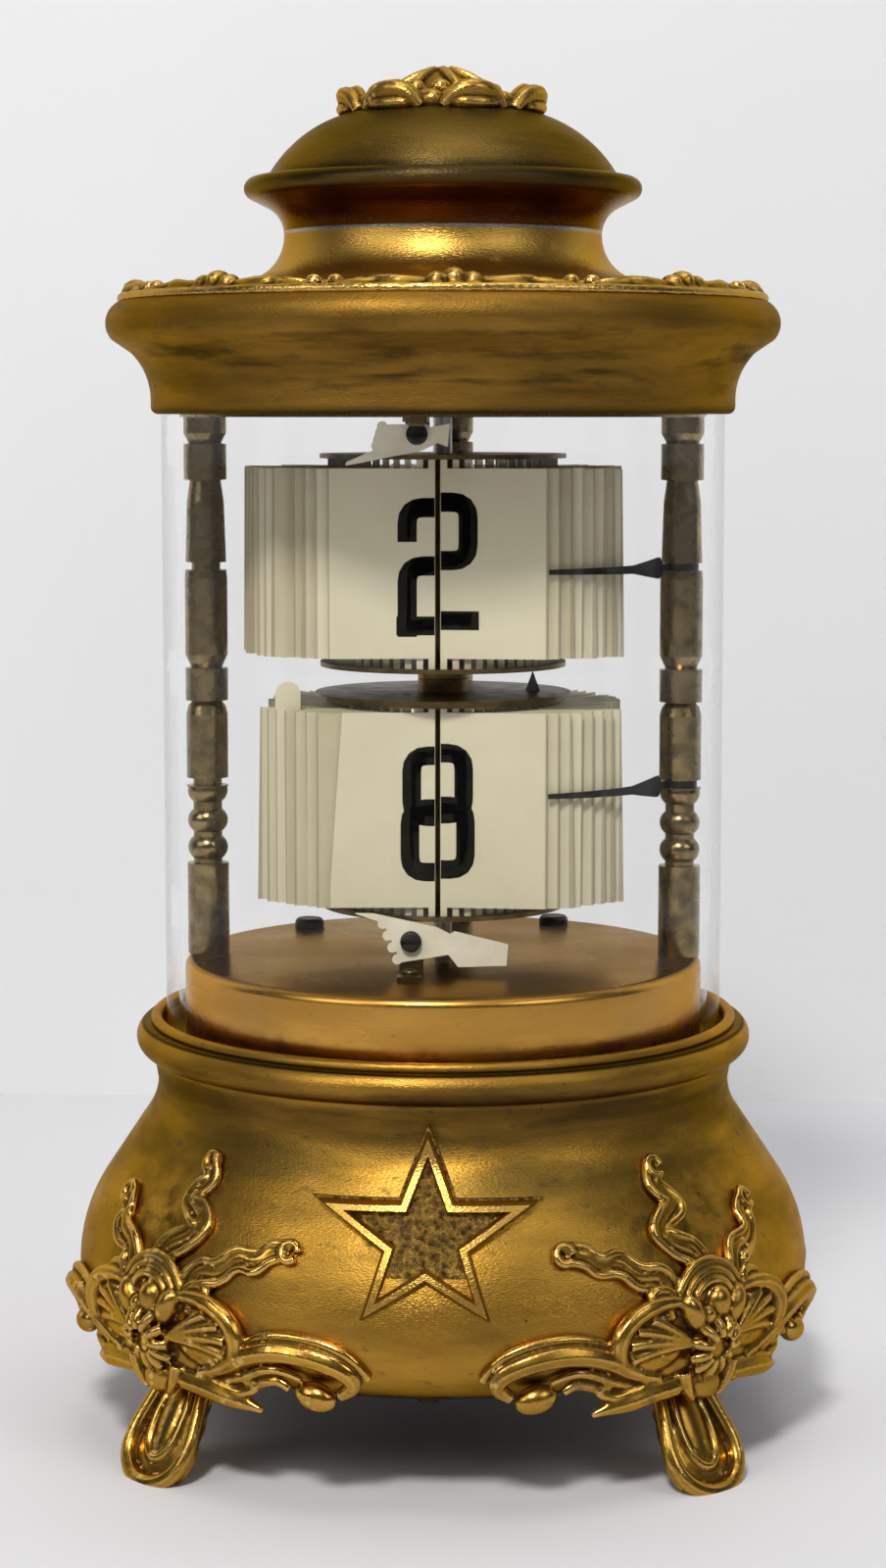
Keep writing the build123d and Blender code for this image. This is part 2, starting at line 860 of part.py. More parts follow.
def finger(drum, share):
    """A spring finger wrapped round the right pillar, its tip at the front leaf's free edge."""
    height = finger_height(drum, share)
    pillar_x, pillar_y = spot(pillar_circle, pillar_azimuths["right"])
    ring_inner = pillar_groove_radius + pin_fit
    ring = Pos(pillar_x, pillar_y) * (Circle(ring_inner + finger_thickness) - Circle(ring_inner))
    off_x, off_y = spot(ring_inner + finger_thickness / 2, finger_wrap_azimuth)
    root = Vector(pillar_x + off_x, pillar_y + off_y)
    hinge = Vector(*spot(hinge_circle, leaf_pitch / 2))
    tip = hinge + Vector(*spot(leaf_reach + finger_tip_gap, finger_angle))
    strip = ring + trace(SagittaArc(tip, root, -finger_bow), finger_thickness)
    sheet = upright(strip, height - finger_boss_height, height + finger_boss_height)
    boss = root.X - finger_boss_gap
    upper = [
        (pillar_x + 2 * pillar_radius, finger_wrap_height / 2),
        (boss + finger_boss_width, finger_wrap_height / 2),
        (boss, finger_boss_height / 2),
        (boss - finger_boss_width, finger_boss_height / 2),
        (boss - finger_shank_length, finger_shank_height / 2),
        (tip.X - overrun, finger_tip_height / 2),
    ]
    side = Pos(0, height) * polygon(upper + [(x, -z) for x, z in reversed(upper)])
    return sheet & extrude(Plane.XZ * side, 2 * pillar_circle, both=True)


def lever(shares, scallops, offset, height):
    """An ivory lever with a scalloped end, drilled for its pivot screw."""
    sheet = polygon([(lever_length * x, lever_length * y) for x, y in shares])
    start, end = (Vector(x, y) * lever_length for x, y in scallops)
    for k in range(scallop_count):
        bump = start + (end - start) * (k / (scallop_count - 1))
        sheet += Pos(bump.X, bump.Y) * Circle(scallop_radius)
    sheet -= Circle(pivot_radius + running_fit)
    solid = extrude(Plane.XZ * sheet, lever_thickness)
    return Pos(offset, lever_thickness - lever_front, height) * solid


minute_pivot_height = plinth_top + minute_lever_rise
hour_pivot_height = top_plate_bottom - hour_lever_drop


def bracket_screw_spot(offset):
    """Where a bracket's screw goes through its foot."""
    return offset, -lever_front - bracket_foot_length / 2


def bracket(offset, pivot_height, seat, up):
    """An angle bracket: a foot on its seat and an upright behind the lever."""
    back = lever_thickness + bracket_thickness + running_fit - lever_front
    low, high = sorted((seat, pivot_height + up * bracket_margin))
    front = back - bracket_thickness
    standing = Pos(offset, (back + front) / 2, (low + high) / 2) * Box(
        bracket_width, bracket_thickness, high - low
    )
    reach = front + lever_front + bracket_foot_length
    lying = Pos(offset, front - reach / 2, seat + up * bracket_thickness / 2) * Box(
        bracket_width, reach, bracket_thickness
    )
    x, y = bracket_screw_spot(offset)
    hole = rod(bracket_screw_radius + pin_fit, seat - overrun, seat + overrun, x, y)
    bore = Cylinder(pivot_radius + pin_fit, 4 * bracket_thickness)
    pin = Pos(offset, front, pivot_height) * Rot(90, 0, 0) * bore
    return standing + lying - hole - pin


def bracket_screws():
    """The two screws through the brackets' feet."""
    length = bracket_thickness + plinth_wall
    screw = slotted_screw(bracket_screw_head_radius, bracket_screw_head_height, bracket_screw_radius, length)
    low_x, low_y = bracket_screw_spot(minute_lever_offset)
    high_x, high_y = bracket_screw_spot(hour_lever_offset)
    return Compound([
        place(low_x, low_y, plinth_top + bracket_thickness) * screw,
        place(high_x, high_y, top_plate_bottom - bracket_thickness) * Rot(180, 0, 0) * screw,
    ])


def pivot_screws():
    """The two black screws that the levers turn on."""
    length = lever_thickness + running_fit + bracket_thickness
    screw = slotted_screw(pivot_head_radius, pivot_head_height, pivot_radius, length)
    forward = Rot(90, 0, 0) * screw
    front = -lever_front - running_fit
    return Compound([
        Pos(minute_lever_offset, front, minute_pivot_height) * forward,
        Pos(hour_lever_offset, front, hour_pivot_height) * forward,
    ])


def top_plate():
    """The plate on the pillars' heads that carries the arbor's upper end and the tie rod."""
    plate = rod(top_plate_radius, top_plate_bottom, top_plate_top)
    for azimuth in pillar_azimuths.values():
        x, y = spot(pillar_circle, azimuth)
        plate -= rod(screw_radius + pin_fit, top_plate_bottom, top_plate_top, x, y)
    x, y = bracket_screw_spot(hour_lever_offset)
    plate -= rod(bracket_screw_radius + pin_fit, top_plate_bottom, top_plate_top, x, y)
    return plate - rod(arbor_radius + running_fit, top_plate_bottom, top_plate_top)


def canopy():
    """The cover over the glass: a cove, a rolled rim, a sloping top and a flared neck."""
    rim_height = canopy_bottom + rim_rise
    rim_centre = rim_radius - rim_curve
    cove_start = Vector(canopy_radius, canopy_bottom + cove_rise)
    cove_centre = cove_start + Vector(cove_curve, 0)
    cove_middle = cove_centre - Vector(math.cos(math.pi / 8), -math.sin(math.pi / 8)) * cove_curve
    cove_end = cove_centre - Vector(math.cos(math.pi / 4), -math.sin(math.pi / 4)) * cove_curve
    rim_top = Vector(rim_centre, rim_height + rim_curve)
    flare_centre = Vector(seam_radius + flare_curve, seam_height)
    flare_foot = flare_centre - Vector(0, flare_curve)
    flare_middle = flare_centre - Vector(math.cos(math.pi / 4), math.sin(math.pi / 4)) * flare_curve
    profile = make_face(
        Line((0, canopy_bottom), (canopy_radius, canopy_bottom))
        + Line((canopy_radius, canopy_bottom), cove_start)
        + ThreePointArc(cove_start, cove_middle, cove_end)
        + Line(cove_end, (rim_centre, rim_height))
        + Line((rim_centre, rim_height), rim_top)
        + Line(rim_top, flare_foot)
        + ThreePointArc(flare_foot, flare_middle, (seam_radius, seam_height))
        + Line((seam_radius, seam_height), (0, seam_height))
        + Line((0, seam_height), (0, canopy_bottom))
    )
    profile += Pos(rim_centre, rim_height) * Circle(rim_curve)
    throat = seam_radius - canopy_wall
    ceiling = rim_height + rim_curve - canopy_wall
    hold = glass_bore
    profile -= rectangle(0, 0, bore_radius, glass_top)
    profile -= polygon([
        (0, glass_top),
        (hold, glass_top),
        (hold, ceiling - canopy_wall),
        (throat, ceiling),
        (throat, seam_height),
        (0, seam_height),
    ])
    return turned(profile)


def dome_profile(grow):
    """The dome over its bead, grown inwards for its hollow."""
    centre = Vector(dome_flat_radius, dome_top - dome_curve)
    reach = dome_curve + grow
    bead_height = seam_height + bead_rise
    level = math.asin((bead_height - centre.Y) / reach)
    start = centre + Vector(math.cos(level), math.sin(level)) * reach
    half = (level + math.pi / 2) / 2
    middle = centre + Vector(math.cos(half), math.sin(half)) * reach
    crown = centre + Vector(0, reach)
    return make_face(
        Line((0, bead_height), start)
        + ThreePointArc(start, middle, crown)
        + Line(crown, (0, crown.Y))
        + Line((0, crown.Y), (0, bead_height))
    )


def dome():
    """The cap on the canopy's neck: a scotia, a bead and a dome, hollow, open at the crown."""
    bead_height = seam_height + bead_rise
    bead_centre = bead_radius - bead_curve
    scotia_start = Vector(seam_radius, seam_height)
    scotia_centre = scotia_start + Vector(scotia_curve, 0)
    turn = math.radians(scotia_sweep / 2)
    scotia_middle = scotia_centre + Vector(-math.cos(turn), math.sin(turn)) * scotia_curve
    turn = 2 * turn
    scotia_end = scotia_centre + Vector(-math.cos(turn), math.sin(turn)) * scotia_curve
    neck = make_face(
        Line((0, seam_height), scotia_start)
        + ThreePointArc(scotia_start, scotia_middle, scotia_end)
        + Line(scotia_end, (bead_centre, bead_height))
        + Line((bead_centre, bead_height), (0, bead_height))
        + Line((0, bead_height), (0, seam_height))
    )
    hollow = rectangle(0, seam_height, seam_radius - dome_wall, bead_height)
    profile = neck + Pos(bead_centre, bead_height) * Circle(bead_curve) + dome_profile(0)
    bore = rectangle(0, seam_height, tie_rod_radius + pin_fit, dome_top + overrun)
    inside = dome_profile(-dome_wall) & rectangle(0, seam_height, seam_radius - dome_wall, dome_top)
    return turned(profile - hollow - inside - bore)


def finial():
    """A lobed rosette seated on the dome, with a bud."""
    lobe_circle = finial_radius - finial_lobe_radius
    top = dome_top + finial_height
    shoulder = top - finial_step_height
    seat = dome_top - finial_skirt
    cap_radius = (bud_radius**2 + bud_height**2) / (2 * bud_height)
    half_cap = math.asin(bud_radius / cap_radius) / 2
    cap_centre = Vector(0, top + bud_height - cap_radius)
    cap_middle = cap_centre + Vector(math.sin(half_cap), math.cos(half_cap)) * cap_radius
    bud = make_face(
        Line((0, seat), (bud_radius, seat))
        + Line((bud_radius, seat), (bud_radius, top))
        + ThreePointArc((bud_radius, top), cap_middle, (0, top + bud_height))
        + Line((0, top + bud_height), (0, seat))
    )
    flower = rectangle(0, seat, lobe_circle, shoulder) + rectangle(0, seat, finial_step_radius, top) + bud
    flower -= dome_profile(pin_fit)
    flower -= rectangle(0, seat, tie_rod_radius + pin_fit, top)
    lobe = Circle(finial_lobe_radius)
    turns = [360 * k / finial_lobes for k in range(finial_lobes)]
    lobes = Sketch() + [Pos(*spot(lobe_circle, turn)) * lobe for turn in turns]
    ring = upright(lobes, seat, shoulder) - turned(dome_profile(pin_fit))
    ring -= rod(lobe_circle - finial_lobe_radius / 2, seat, top)
    return turned(flower) + ring


def tie_rod():
    """The rod that draws the finial, the dome and the canopy down on the top plate."""
    return rod(tie_rod_radius, top_plate_top, dome_top + finial_height)


def train_centres():
    """The plan of the going train: each arbor's centre from the one before."""

    def step(start, distance, angle):
        turn = math.radians(angle)
        return start[0] + distance * math.cos(turn), start[1] + distance * math.sin(turn)

    centre = (0, 0)
    main = step(centre, main_module * (main_teeth + centre_pinion_teeth) / 2, main_angle)
    third = step(centre, centre_module * (centre_teeth + third_pinion_teeth) / 2, third_angle)
    fourth = step(third, third_module * (third_teeth + fourth_pinion_teeth) / 2, fourth_angle)
    escape = step(fourth, fourth_module * (fourth_teeth + escape_pinion_teeth) / 2, escape_angle)
    pallet = step(escape, pallet_distance, pallet_angle)
    balance = step(pallet, balance_distance, balance_angle)
    return main, third, fourth, escape, pallet, balance


main_centre, third_centre, fourth_centre, escape_centre, pallet_centre, balance_centre = train_centres()


def toothed(teeth, module, phase):
    """A toothed wheel's plan, with one tooth centred on the phase angle."""
    pitch = 2 * math.pi / teeth
    pitch_radius = teeth * module / 2
    root = pitch_radius - dedendum_share * module
    tip = pitch_radius + addendum_share * module
    points = []
    for k in range(teeth):
        middle = math.radians(phase) + k * pitch
        for radius, share in (
            (root, -tooth_root_share),
            (tip, -tooth_tip_share),
            (tip, tooth_tip_share),
            (root, tooth_root_share),
        ):
            turn = middle + share * pitch
            points.append((radius * math.cos(turn), radius * math.sin(turn)))
    return polygon(points)


def meshing_phase(driver_teeth, driver_phase, teeth, angle):
    """The phase that puts a space of a wheel opposite a tooth of its driver, along an angle."""
    driver_pitch = 360 / driver_teeth
    into_tooth = ((angle - driver_phase) / driver_pitch) % 1
    return angle + 180 - (1 / 2 - into_tooth) * 360 / teeth


centre_pinion_phase = meshing_phase(main_teeth, 0, centre_pinion_teeth, main_angle + 180)
third_pinion_phase = meshing_phase(centre_teeth, 0, third_pinion_teeth, third_angle)
fourth_pinion_phase = meshing_phase(third_teeth, 0, fourth_pinion_teeth, fourth_angle)
escape_pinion_phase = meshing_phase(fourth_teeth, 0, escape_pinion_teeth, escape_angle)

# Levels of the train between the plates
main_level = lower_plate_top + wheel_end_gap
centre_level = upper_plate_bottom - wheel_end_gap - pinion_length
third_level = centre_level - pinion_length - wheel_end_gap
fourth_level = third_level - pinion_length - wheel_end_gap
escape_level = fourth_level - pinion_length - wheel_end_gap
pinion_margin = (pinion_length - wheel_thickness) / 2
spring_level = main_level + 2 * wheel_thickness + wheel_end_gap


def train_arbor():
    """An arbor between the movement plates with a pivot at each end."""
    barrel = rod(train_arbor_radius, lower_plate_top + end_shake, upper_plate_bottom - end_shake)
    return barrel + rod(train_pivot_radius, lower_plate_bottom, upper_plate_top)


def wheel_and_pinion(wheel_plan, level, pinion_plan, pinion_level):
    """A train wheel with its pinion on one arbor."""
    wheel = upright(wheel_plan, level, level + wheel_thickness)
    low = pinion_level - pinion_margin
    return wheel + upright(pinion_plan, low, low + pinion_length) + train_arbor()


def main_wheel():
    """The great wheel, free on the winding arbor."""
    wheel = upright(toothed(main_teeth, main_module, 0), main_level, main_level + wheel_thickness)
    wheel -= rod(winding_arbor_radius + running_fit, main_level, main_level + wheel_thickness)
    return place(*main_centre) * wheel


def click():
    """The click on the main wheel, its beak at the ratchet's teeth."""
    bottom = main_level + wheel_thickness
    bar = Rectangle(click_length, click_width) + Pos(click_length / 2, 0) * Circle(click_width / 2)
    circle = ratchet_radius + running_fit + click_width / 2
    return place(*main_centre) * Pos(0, circle) * upright(bar, bottom, bottom + wheel_thickness)


def centre_wheel():
    """The centre wheel and pinion on one sleeve, held on the arbor by friction."""
    sleeve = rod(sleeve_radius, lower_plate_top + end_shake, centre_level + wheel_thickness)
    low = main_level - pinion_margin
    pinion = upright(toothed(centre_pinion_teeth, main_module, centre_pinion_phase), low, low + pinion_length)
    wheel = upright(toothed(centre_teeth, centre_module, 0), centre_level, centre_level + wheel_thickness)
    solid = sleeve + pinion + wheel
    return solid - rod(arbor_radius + running_fit, lower_plate_top, upper_plate_bottom)


def third_wheel():
    """The third wheel, driven by the centre wheel."""
    wheel = toothed(third_teeth, third_module, 0)
    pinion = toothed(third_pinion_teeth, centre_module, third_pinion_phase)
    return place(*third_centre) * wheel_and_pinion(wheel, third_level, pinion, centre_level)


def fourth_wheel():
    """The fourth wheel, driven by the third wheel."""
    wheel = toothed(fourth_teeth, fourth_module, 0)
    pinion = toothed(fourth_pinion_teeth, third_module, fourth_pinion_phase)
    return place(*fourth_centre) * wheel_and_pinion(wheel, fourth_level, pinion, third_level)


def saw_teeth(teeth, radius, depth, lean_share):
    """A plan with pointed teeth that lean one way."""
    pitch = 2 * math.pi / teeth
    points = []
    for k in range(teeth):
        for reach, share in ((radius - depth, 0), (radius, lean_share), (radius - depth, lean_share)):
            turn = (k + share) * pitch
            points.append((reach * math.cos(turn), reach * math.sin(turn)))
    return polygon(points)


def escape_wheel():
    """The escape wheel, with hooked teeth, driven by the fourth wheel."""
    wheel = saw_teeth(escape_teeth, escape_radius, escape_tooth_depth, escape_lean_share)
    pinion = toothed(escape_pinion_teeth, fourth_module, escape_pinion_phase)
    return place(*escape_centre) * wheel_and_pinion(wheel, escape_level, pinion, fourth_level)


def pallet_lever():
    """The pallet lever: two pallets over the escape wheel and a fork towards the balance."""
    inward = pallet_distance - escape_radius - pallet_gap
    arms = Pos(-inward + pallet_width / 2, 0) * Rectangle(pallet_width, 2 * pallet_reach)
    fork = Pos(fork_length / 2, 0) * Rectangle(fork_length, pallet_width)
    boss = Circle(2 * train_arbor_radius)
    stem = Pos(-inward / 2, 0) * Rectangle(inward, pallet_width)
    plan = Rot(0, 0, pallet_angle) * (arms + fork + boss + stem)
    lever_solid = upright(plan, escape_level, escape_level + wheel_thickness)
    return place(*pallet_centre) * (lever_solid + train_arbor())


def balance_wheel():
    """The balance: a rim, two arms, a staff and a roller."""
    level = centre_level - pinion_length
    rim = Circle(balance_radius) - Circle(balance_radius - balance_rim_width)
    arms = Rectangle(2 * balance_radius - balance_rim_width, balance_arm_width)
    wheel = upright(rim + arms, level, level + balance_thickness)
    roller = rod(roller_radius, escape_level, escape_level + wheel_thickness)
    return place(*balance_centre) * (wheel + roller + train_arbor())


def spiral_strip(inner_radius, step, half_turns, width):
    """A flat spiral strip of half circles, each one larger than the last."""
    path = None
    side = 1
    x = inner_radius
    for k in range(half_turns):
        radius = inner_radius + k * step / 2
        centre = x - side * radius
        arc = ThreePointArc((x, 0), (centre, side * radius), (centre - side * radius, 0))
        path = arc if path is None else path + arc
        x = centre - side * radius
        side = -side
    return trace(path, width)


def hairspring():
    """The flat hairspring over the balance's roller."""
    strip = spiral_strip(hairspring_inner_radius, hairspring_step, hairspring_half_turns, hairspring_width)
    level = centre_level - pinion_length - 2 * wheel_end_gap
    return place(*balance_centre) * upright(strip, level, level + hairspring_height)


def mainspring():
    """The open mainspring round the winding arbor."""
    strip = spiral_strip(mainspring_inner_radius, mainspring_step, mainspring_half_turns, mainspring_width)
    return place(*main_centre) * upright(strip, spring_level, spring_level + mainspring_height)


def spring_outer_end():
    """Where the mainspring's outer end lies, from the winding arbor."""
    sweep = mainspring_inner_radius
    side = 1
    for k in range(mainspring_half_turns):
        sweep -= side * 2 * (mainspring_inner_radius + k * mainspring_step / 2)
        side = -side
    return sweep


def spring_post():
    """The post under the upper plate that holds the mainspring's outer end."""
    end = spring_outer_end()
    clear = spring_post_radius + mainspring_width / 2 + pin_fit
    out = end + math.copysign(clear, end)
    return place(*main_centre) * rod(spring_post_radius, spring_level, upper_plate_bottom, out, 0)


def winding_arbor():
    """The winding arbor with its ratchet, its upper pivot and its squared lower end."""
    square_top = key_clearance + key_stem_length
    arbor = rod(winding_arbor_radius, square_top, spring_level + mainspring_height)
    arbor += rod(winding_pivot_radius, spring_level, upper_plate_top)
    ratchet_bottom = main_level + wheel_thickness
    plan = saw_teeth(ratchet_teeth, ratchet_radius, ratchet_tooth_depth, ratchet_lean_share)
    arbor += upright(plan, ratchet_bottom, ratchet_bottom + wheel_thickness)
    tail = Box(winding_square, winding_square, key_stem_length)
    return place(*main_centre) * (arbor + Pos(0, 0, square_top - key_stem_length / 2) * tail)


def winding_key():
    """The winged key on the winding arbor's square."""
    bottom = key_clearance
    stem = rod(key_stem_radius, bottom, bottom + key_stem_length)
    hole = winding_square + 2 * pin_fit
    wings = Pos(0, bottom + key_wing_radius) * Rectangle(2 * key_wing_centre, 2 * key_stem_radius)
    for side in (-1, 1):
        wing = Pos(side * key_wing_centre, bottom + key_wing_radius)
        wings += wing * Circle(key_wing_radius)
        wings -= wing * Circle(key_eye_radius)
    solid = stem + extrude(Plane.XZ * wings, key_wing_thickness / 2, both=True)
    socket = Pos(0, 0, bottom + key_stem_length / 2) * Box(hole, hole, key_stem_length)
    return place(*main_centre) * (solid - socket)


def set_knob():
    """The fluted knob on the centre arbor's lower end."""
    outline = Circle(knob_radius)
    for k in range(knob_flutes):
        outline -= Pos(*spot(knob_radius, 360 * k / knob_flutes)) * Circle(knob_flute_radius)
    outline -= Circle(arbor_radius)
    return upright(outline, knob_clearance, knob_clearance + knob_height)


def movement_pillar_places():
    """Where the movement's pillars stand."""
    turns = [math.radians(angle) for angle in movement_pillar_angles]
    return [place(movement_pillar_circle * math.cos(t), movement_pillar_circle * math.sin(t)) for t in turns]


def movement_pillars():
    """The pillars between the plates, with tenons through them."""
    post = rod(movement_pillar_radius, lower_plate_top, upper_plate_bottom)
    post += rod(tenon_radius, lower_plate_bottom, upper_plate_top)
    return Compound([spot_on_plate * post for spot_on_plate in movement_pillar_places()])


def movement_plate(bottom):
    """A movement plate with holes for its pillars and the train's pivots."""
    top = bottom + plate_thickness
    plate = rod(plate_radius, bottom, top)
    for spot_on_plate in movement_pillar_places():
        plate -= spot_on_plate * rod(tenon_radius + pin_fit, bottom, top)
    for x, y in (third_centre, fourth_centre, escape_centre, pallet_centre, balance_centre):
        plate -= rod(train_pivot_radius + running_fit, bottom, top, x, y)
    return plate - rod(arbor_radius + running_fit, bottom, top)


def lower_movement_plate():
    """The lower plate, with a bearing for the winding arbor."""
    plate = movement_plate(lower_plate_bottom)
    bearing = winding_arbor_radius + running_fit
    return plate - rod(bearing, lower_plate_bottom, lower_plate_top, *main_centre)


def upper_movement_plate():
    """The upper plate, notched for the pillar screws and tapped for the plinth screws."""
    plate = movement_plate(upper_plate_bottom)
    for azimuth in pillar_azimuths.values():
        x, y = spot(pillar_circle, azimuth)
        plate -= rod(plate_notch_radius, upper_plate_bottom, upper_plate_top, x, y)
    for azimuth in plinth_screw_azimuths:
        x, y = spot(plinth_screw_circle, azimuth)
        plate -= rod(screw_radius + pin_fit, upper_plate_bottom, upper_plate_top, x, y)
    bearing = winding_pivot_radius + running_fit
    return plate - rod(bearing, upper_plate_bottom, upper_plate_top, *main_centre)


def all_pieces():
    """Every piece of the clock by its node's name."""
    finger_heights = [
        finger_height(hour_drum, hour_finger_share),
        finger_height(minute_drum, minute_finger_share),
    ]
    pieces = {
        "base_shell": base_shell(),
        "bottom_cover": bottom_cover(),
        "cover_screws": cover_screws(),
        "foot_screws": foot_screws(),
        "star_emblem": star_emblem(),
        "plinth": plinth(),
        "plinth_screws": plinth_screws(),
        "glass_cylinder": glass_cylinder(),
        "pillar_screws": pillar_screws(),
        "hour_finger": finger(hour_drum, hour_finger_share),
        "minute_finger": finger(minute_drum, minute_finger_share),
        "hour_lever": lever(hour_lever_shares, hour_scallop_shares, hour_lever_offset, hour_pivot_height),
        "minute_lever": lever(
            minute_lever_shares, minute_scallop_shares, minute_lever_offset, minute_pivot_height
        ),
        "hour_lever_bracket": bracket(hour_lever_offset, hour_pivot_height, top_plate_bottom, -1),
        "minute_lever_bracket": bracket(minute_lever_offset, minute_pivot_height, plinth_top, 1),
        "bracket_screws": bracket_screws(),
        "pivot_screws": pivot_screws(),
        "top_plate": top_plate(),
        "canopy": canopy(),
        "dome": dome(),
        "finial": finial(),
        "tie_rod": tie_rod(),
        "centre_arbor": centre_arbor(),
        "minute_hub": minute_hub(),
        "minute_lower_disc": holed_disc(lower_disc_bottom(minute_drum)),
        "minute_upper_disc": holed_disc(upper_disc_bottom(minute_drum)),
        "minute_cover_disc": cover_disc(),
        "carry_tongue": carry_tongue(),
        "minute_leaves": leaf_fan(minute_drum, True),
        "minute_front_leaf": front_leaf(minute_drum),
        "hour_hub": hour_hub(),
        "hour_lower_disc": holed_disc(lower_disc_bottom(hour_drum)),
        "hour_upper_disc": holed_disc(upper_disc_bottom(hour_drum)),
        "hour_leaves": leaf_fan(hour_drum, False),
        "hour_front_leaf": front_leaf(hour_drum),
        "lower_movement_plate": lower_movement_plate(),
        "upper_movement_plate": upper_movement_plate(),
        "movement_pillars": movement_pillars(),
        "main_wheel": main_wheel(),
        "click": click(),
        "mainspring": mainspring(),
        "spring_post": spring_post(),
        "winding_arbor": winding_arbor(),
        "winding_key": winding_key(),
        "centre_wheel": centre_wheel(),
        "third_wheel": third_wheel(),
        "fourth_wheel": fourth_wheel(),
        "escape_wheel": escape_wheel(),
        "pallet_lever": pallet_lever(),
        "balance_wheel": balance_wheel(),
        "hairspring": hairspring(),
        "set_knob": set_knob(),
    }
    for name, azimuth in foot_azimuths.items():
        pieces["foot_" + name] = foot(azimuth)
    for name, azimuth in pillar_azimuths.items():
        pieces["pillar_" + name] = pillar(azimuth, finger_heights)
    return pieces


os.makedirs("parts", exist_ok=True)
for node, solid in all_pieces().items():
    export_step(solid, f"parts/{node}.step")
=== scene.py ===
import random
from math import acos, asin, atan2, cos, degrees, pi, radians, sin

import bmesh
import bpy
from mathutils import Matrix, Vector


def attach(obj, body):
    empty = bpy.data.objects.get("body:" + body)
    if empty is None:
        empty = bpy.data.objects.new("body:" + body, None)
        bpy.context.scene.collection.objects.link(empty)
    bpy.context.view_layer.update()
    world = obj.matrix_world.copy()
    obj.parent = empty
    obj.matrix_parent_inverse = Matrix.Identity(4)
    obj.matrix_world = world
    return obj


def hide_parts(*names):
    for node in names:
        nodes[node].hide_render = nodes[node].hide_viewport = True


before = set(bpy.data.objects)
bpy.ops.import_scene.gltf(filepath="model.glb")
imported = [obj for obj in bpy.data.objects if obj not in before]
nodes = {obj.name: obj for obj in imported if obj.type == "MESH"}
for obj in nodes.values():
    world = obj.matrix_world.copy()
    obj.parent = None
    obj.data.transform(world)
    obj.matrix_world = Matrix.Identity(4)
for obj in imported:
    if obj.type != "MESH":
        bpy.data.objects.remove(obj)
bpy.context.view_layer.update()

# Base shell
# A spun brass bulb with a rolled collar that the glass stands in, gilded, and worn to olive and brown
# where hands and polish have been, with painted shade in the neck under the collar. It is one thickness of
# sheet, open underneath.

MM = 0.001
weld = 0.001 * MM
belly_radius, belly_height, belly_curve, foot_curve = 40.9, 17.3, 17.43, 6.1
neck_radius, neck_height, neck_curve = 31.96, 38.0, 6.7
roll_centre, roll_height, roll_curve = 32.44, 42.75, 1.9
ring_centre, ring_height, ring_curve = 32.1, 44.73, 0.62
bore_radius, seat_height, shelf_radius, shelf_thickness = 31.3, 42.6, 27.4, 1.2
shell_wall, mouth_radius = 1.2, 31.5
gold = (0.46, 0.245, 0.036, 1)
dull_gold = (0.20, 0.112, 0.018, 1)
olive = (0.075, 0.055, 0.016, 1)
umber = (0.034, 0.016, 0.005, 1)
bare_gold = (0.80, 0.53, 0.16, 1)
gold_sheen = (0.86, 0.66, 0.40, 1)


def arc(x, z, radius, start, end, steps):
    """Points of a profile round part of a circle, from one angle to another in degrees."""
    turns = [radians(start + (end - start) * k / steps) for k in range(steps + 1)]
    return [(x + radius * cos(turn), z + radius * sin(turn)) for turn in turns]


def linked(name, data):
    """A new object in the scene."""
    made = bpy.data.objects.new(name, data)
    bpy.context.scene.collection.objects.link(made)
    return made


def made_object(name, mesh, material=None, sharp=35):
    """The object of a finished bmesh, smooth but for its sharp edges."""
    bmesh.ops.recalc_face_normals(mesh, faces=mesh.faces)
    data = bpy.data.meshes.new(name)
    mesh.to_mesh(data)
    mesh.free()
    data.shade_smooth()
    data.set_sharp_from_angle(angle=radians(sharp))
    if material:
        data.materials.append(material)
    return linked(name, data)


def turned(name, material, profile, steps=160):
    """A closed profile of radius and height, in millimetres, turned round the upright axis."""
    mesh = bmesh.new()
    ring = [mesh.verts.new((radius * MM, 0, z * MM)) for radius, z in profile]
    edges = [mesh.edges.new(pair) for pair in zip(ring, ring[1:] + ring[:1])]
    full_turn = {"axis": (0, 0, 1), "cent": (0, 0, 0), "angle": 2 * pi, "steps": steps}
    bmesh.ops.spin(mesh, geom=ring + edges, use_merge=True, **full_turn)
    bmesh.ops.remove_doubles(mesh, verts=mesh.verts, dist=weld)
    return made_object(name, mesh, material)


def bulb_profile(grow):
    """The bulb from its underside to its neck, grown all round, as points of radius and height."""
    belly_x = belly_radius - belly_curve
    neck_x = neck_radius + neck_curve
    across = Vector((neck_x - belly_x, neck_height - belly_height))
    lean = atan2(across.y, across.x) - acos((belly_curve + neck_curve) / across.length)
    lean = degrees(lean)
    underside = arc(belly_radius - foot_curve, belly_height, foot_curve + grow, -90, 0, 12)
    belly = arc(belly_x, belly_height, belly_curve + grow, 0, lean, 16)
    throat = arc(neck_x, neck_height, neck_curve - grow, 180 + lean, 180, 10)
    return underside + belly[1:] + throat


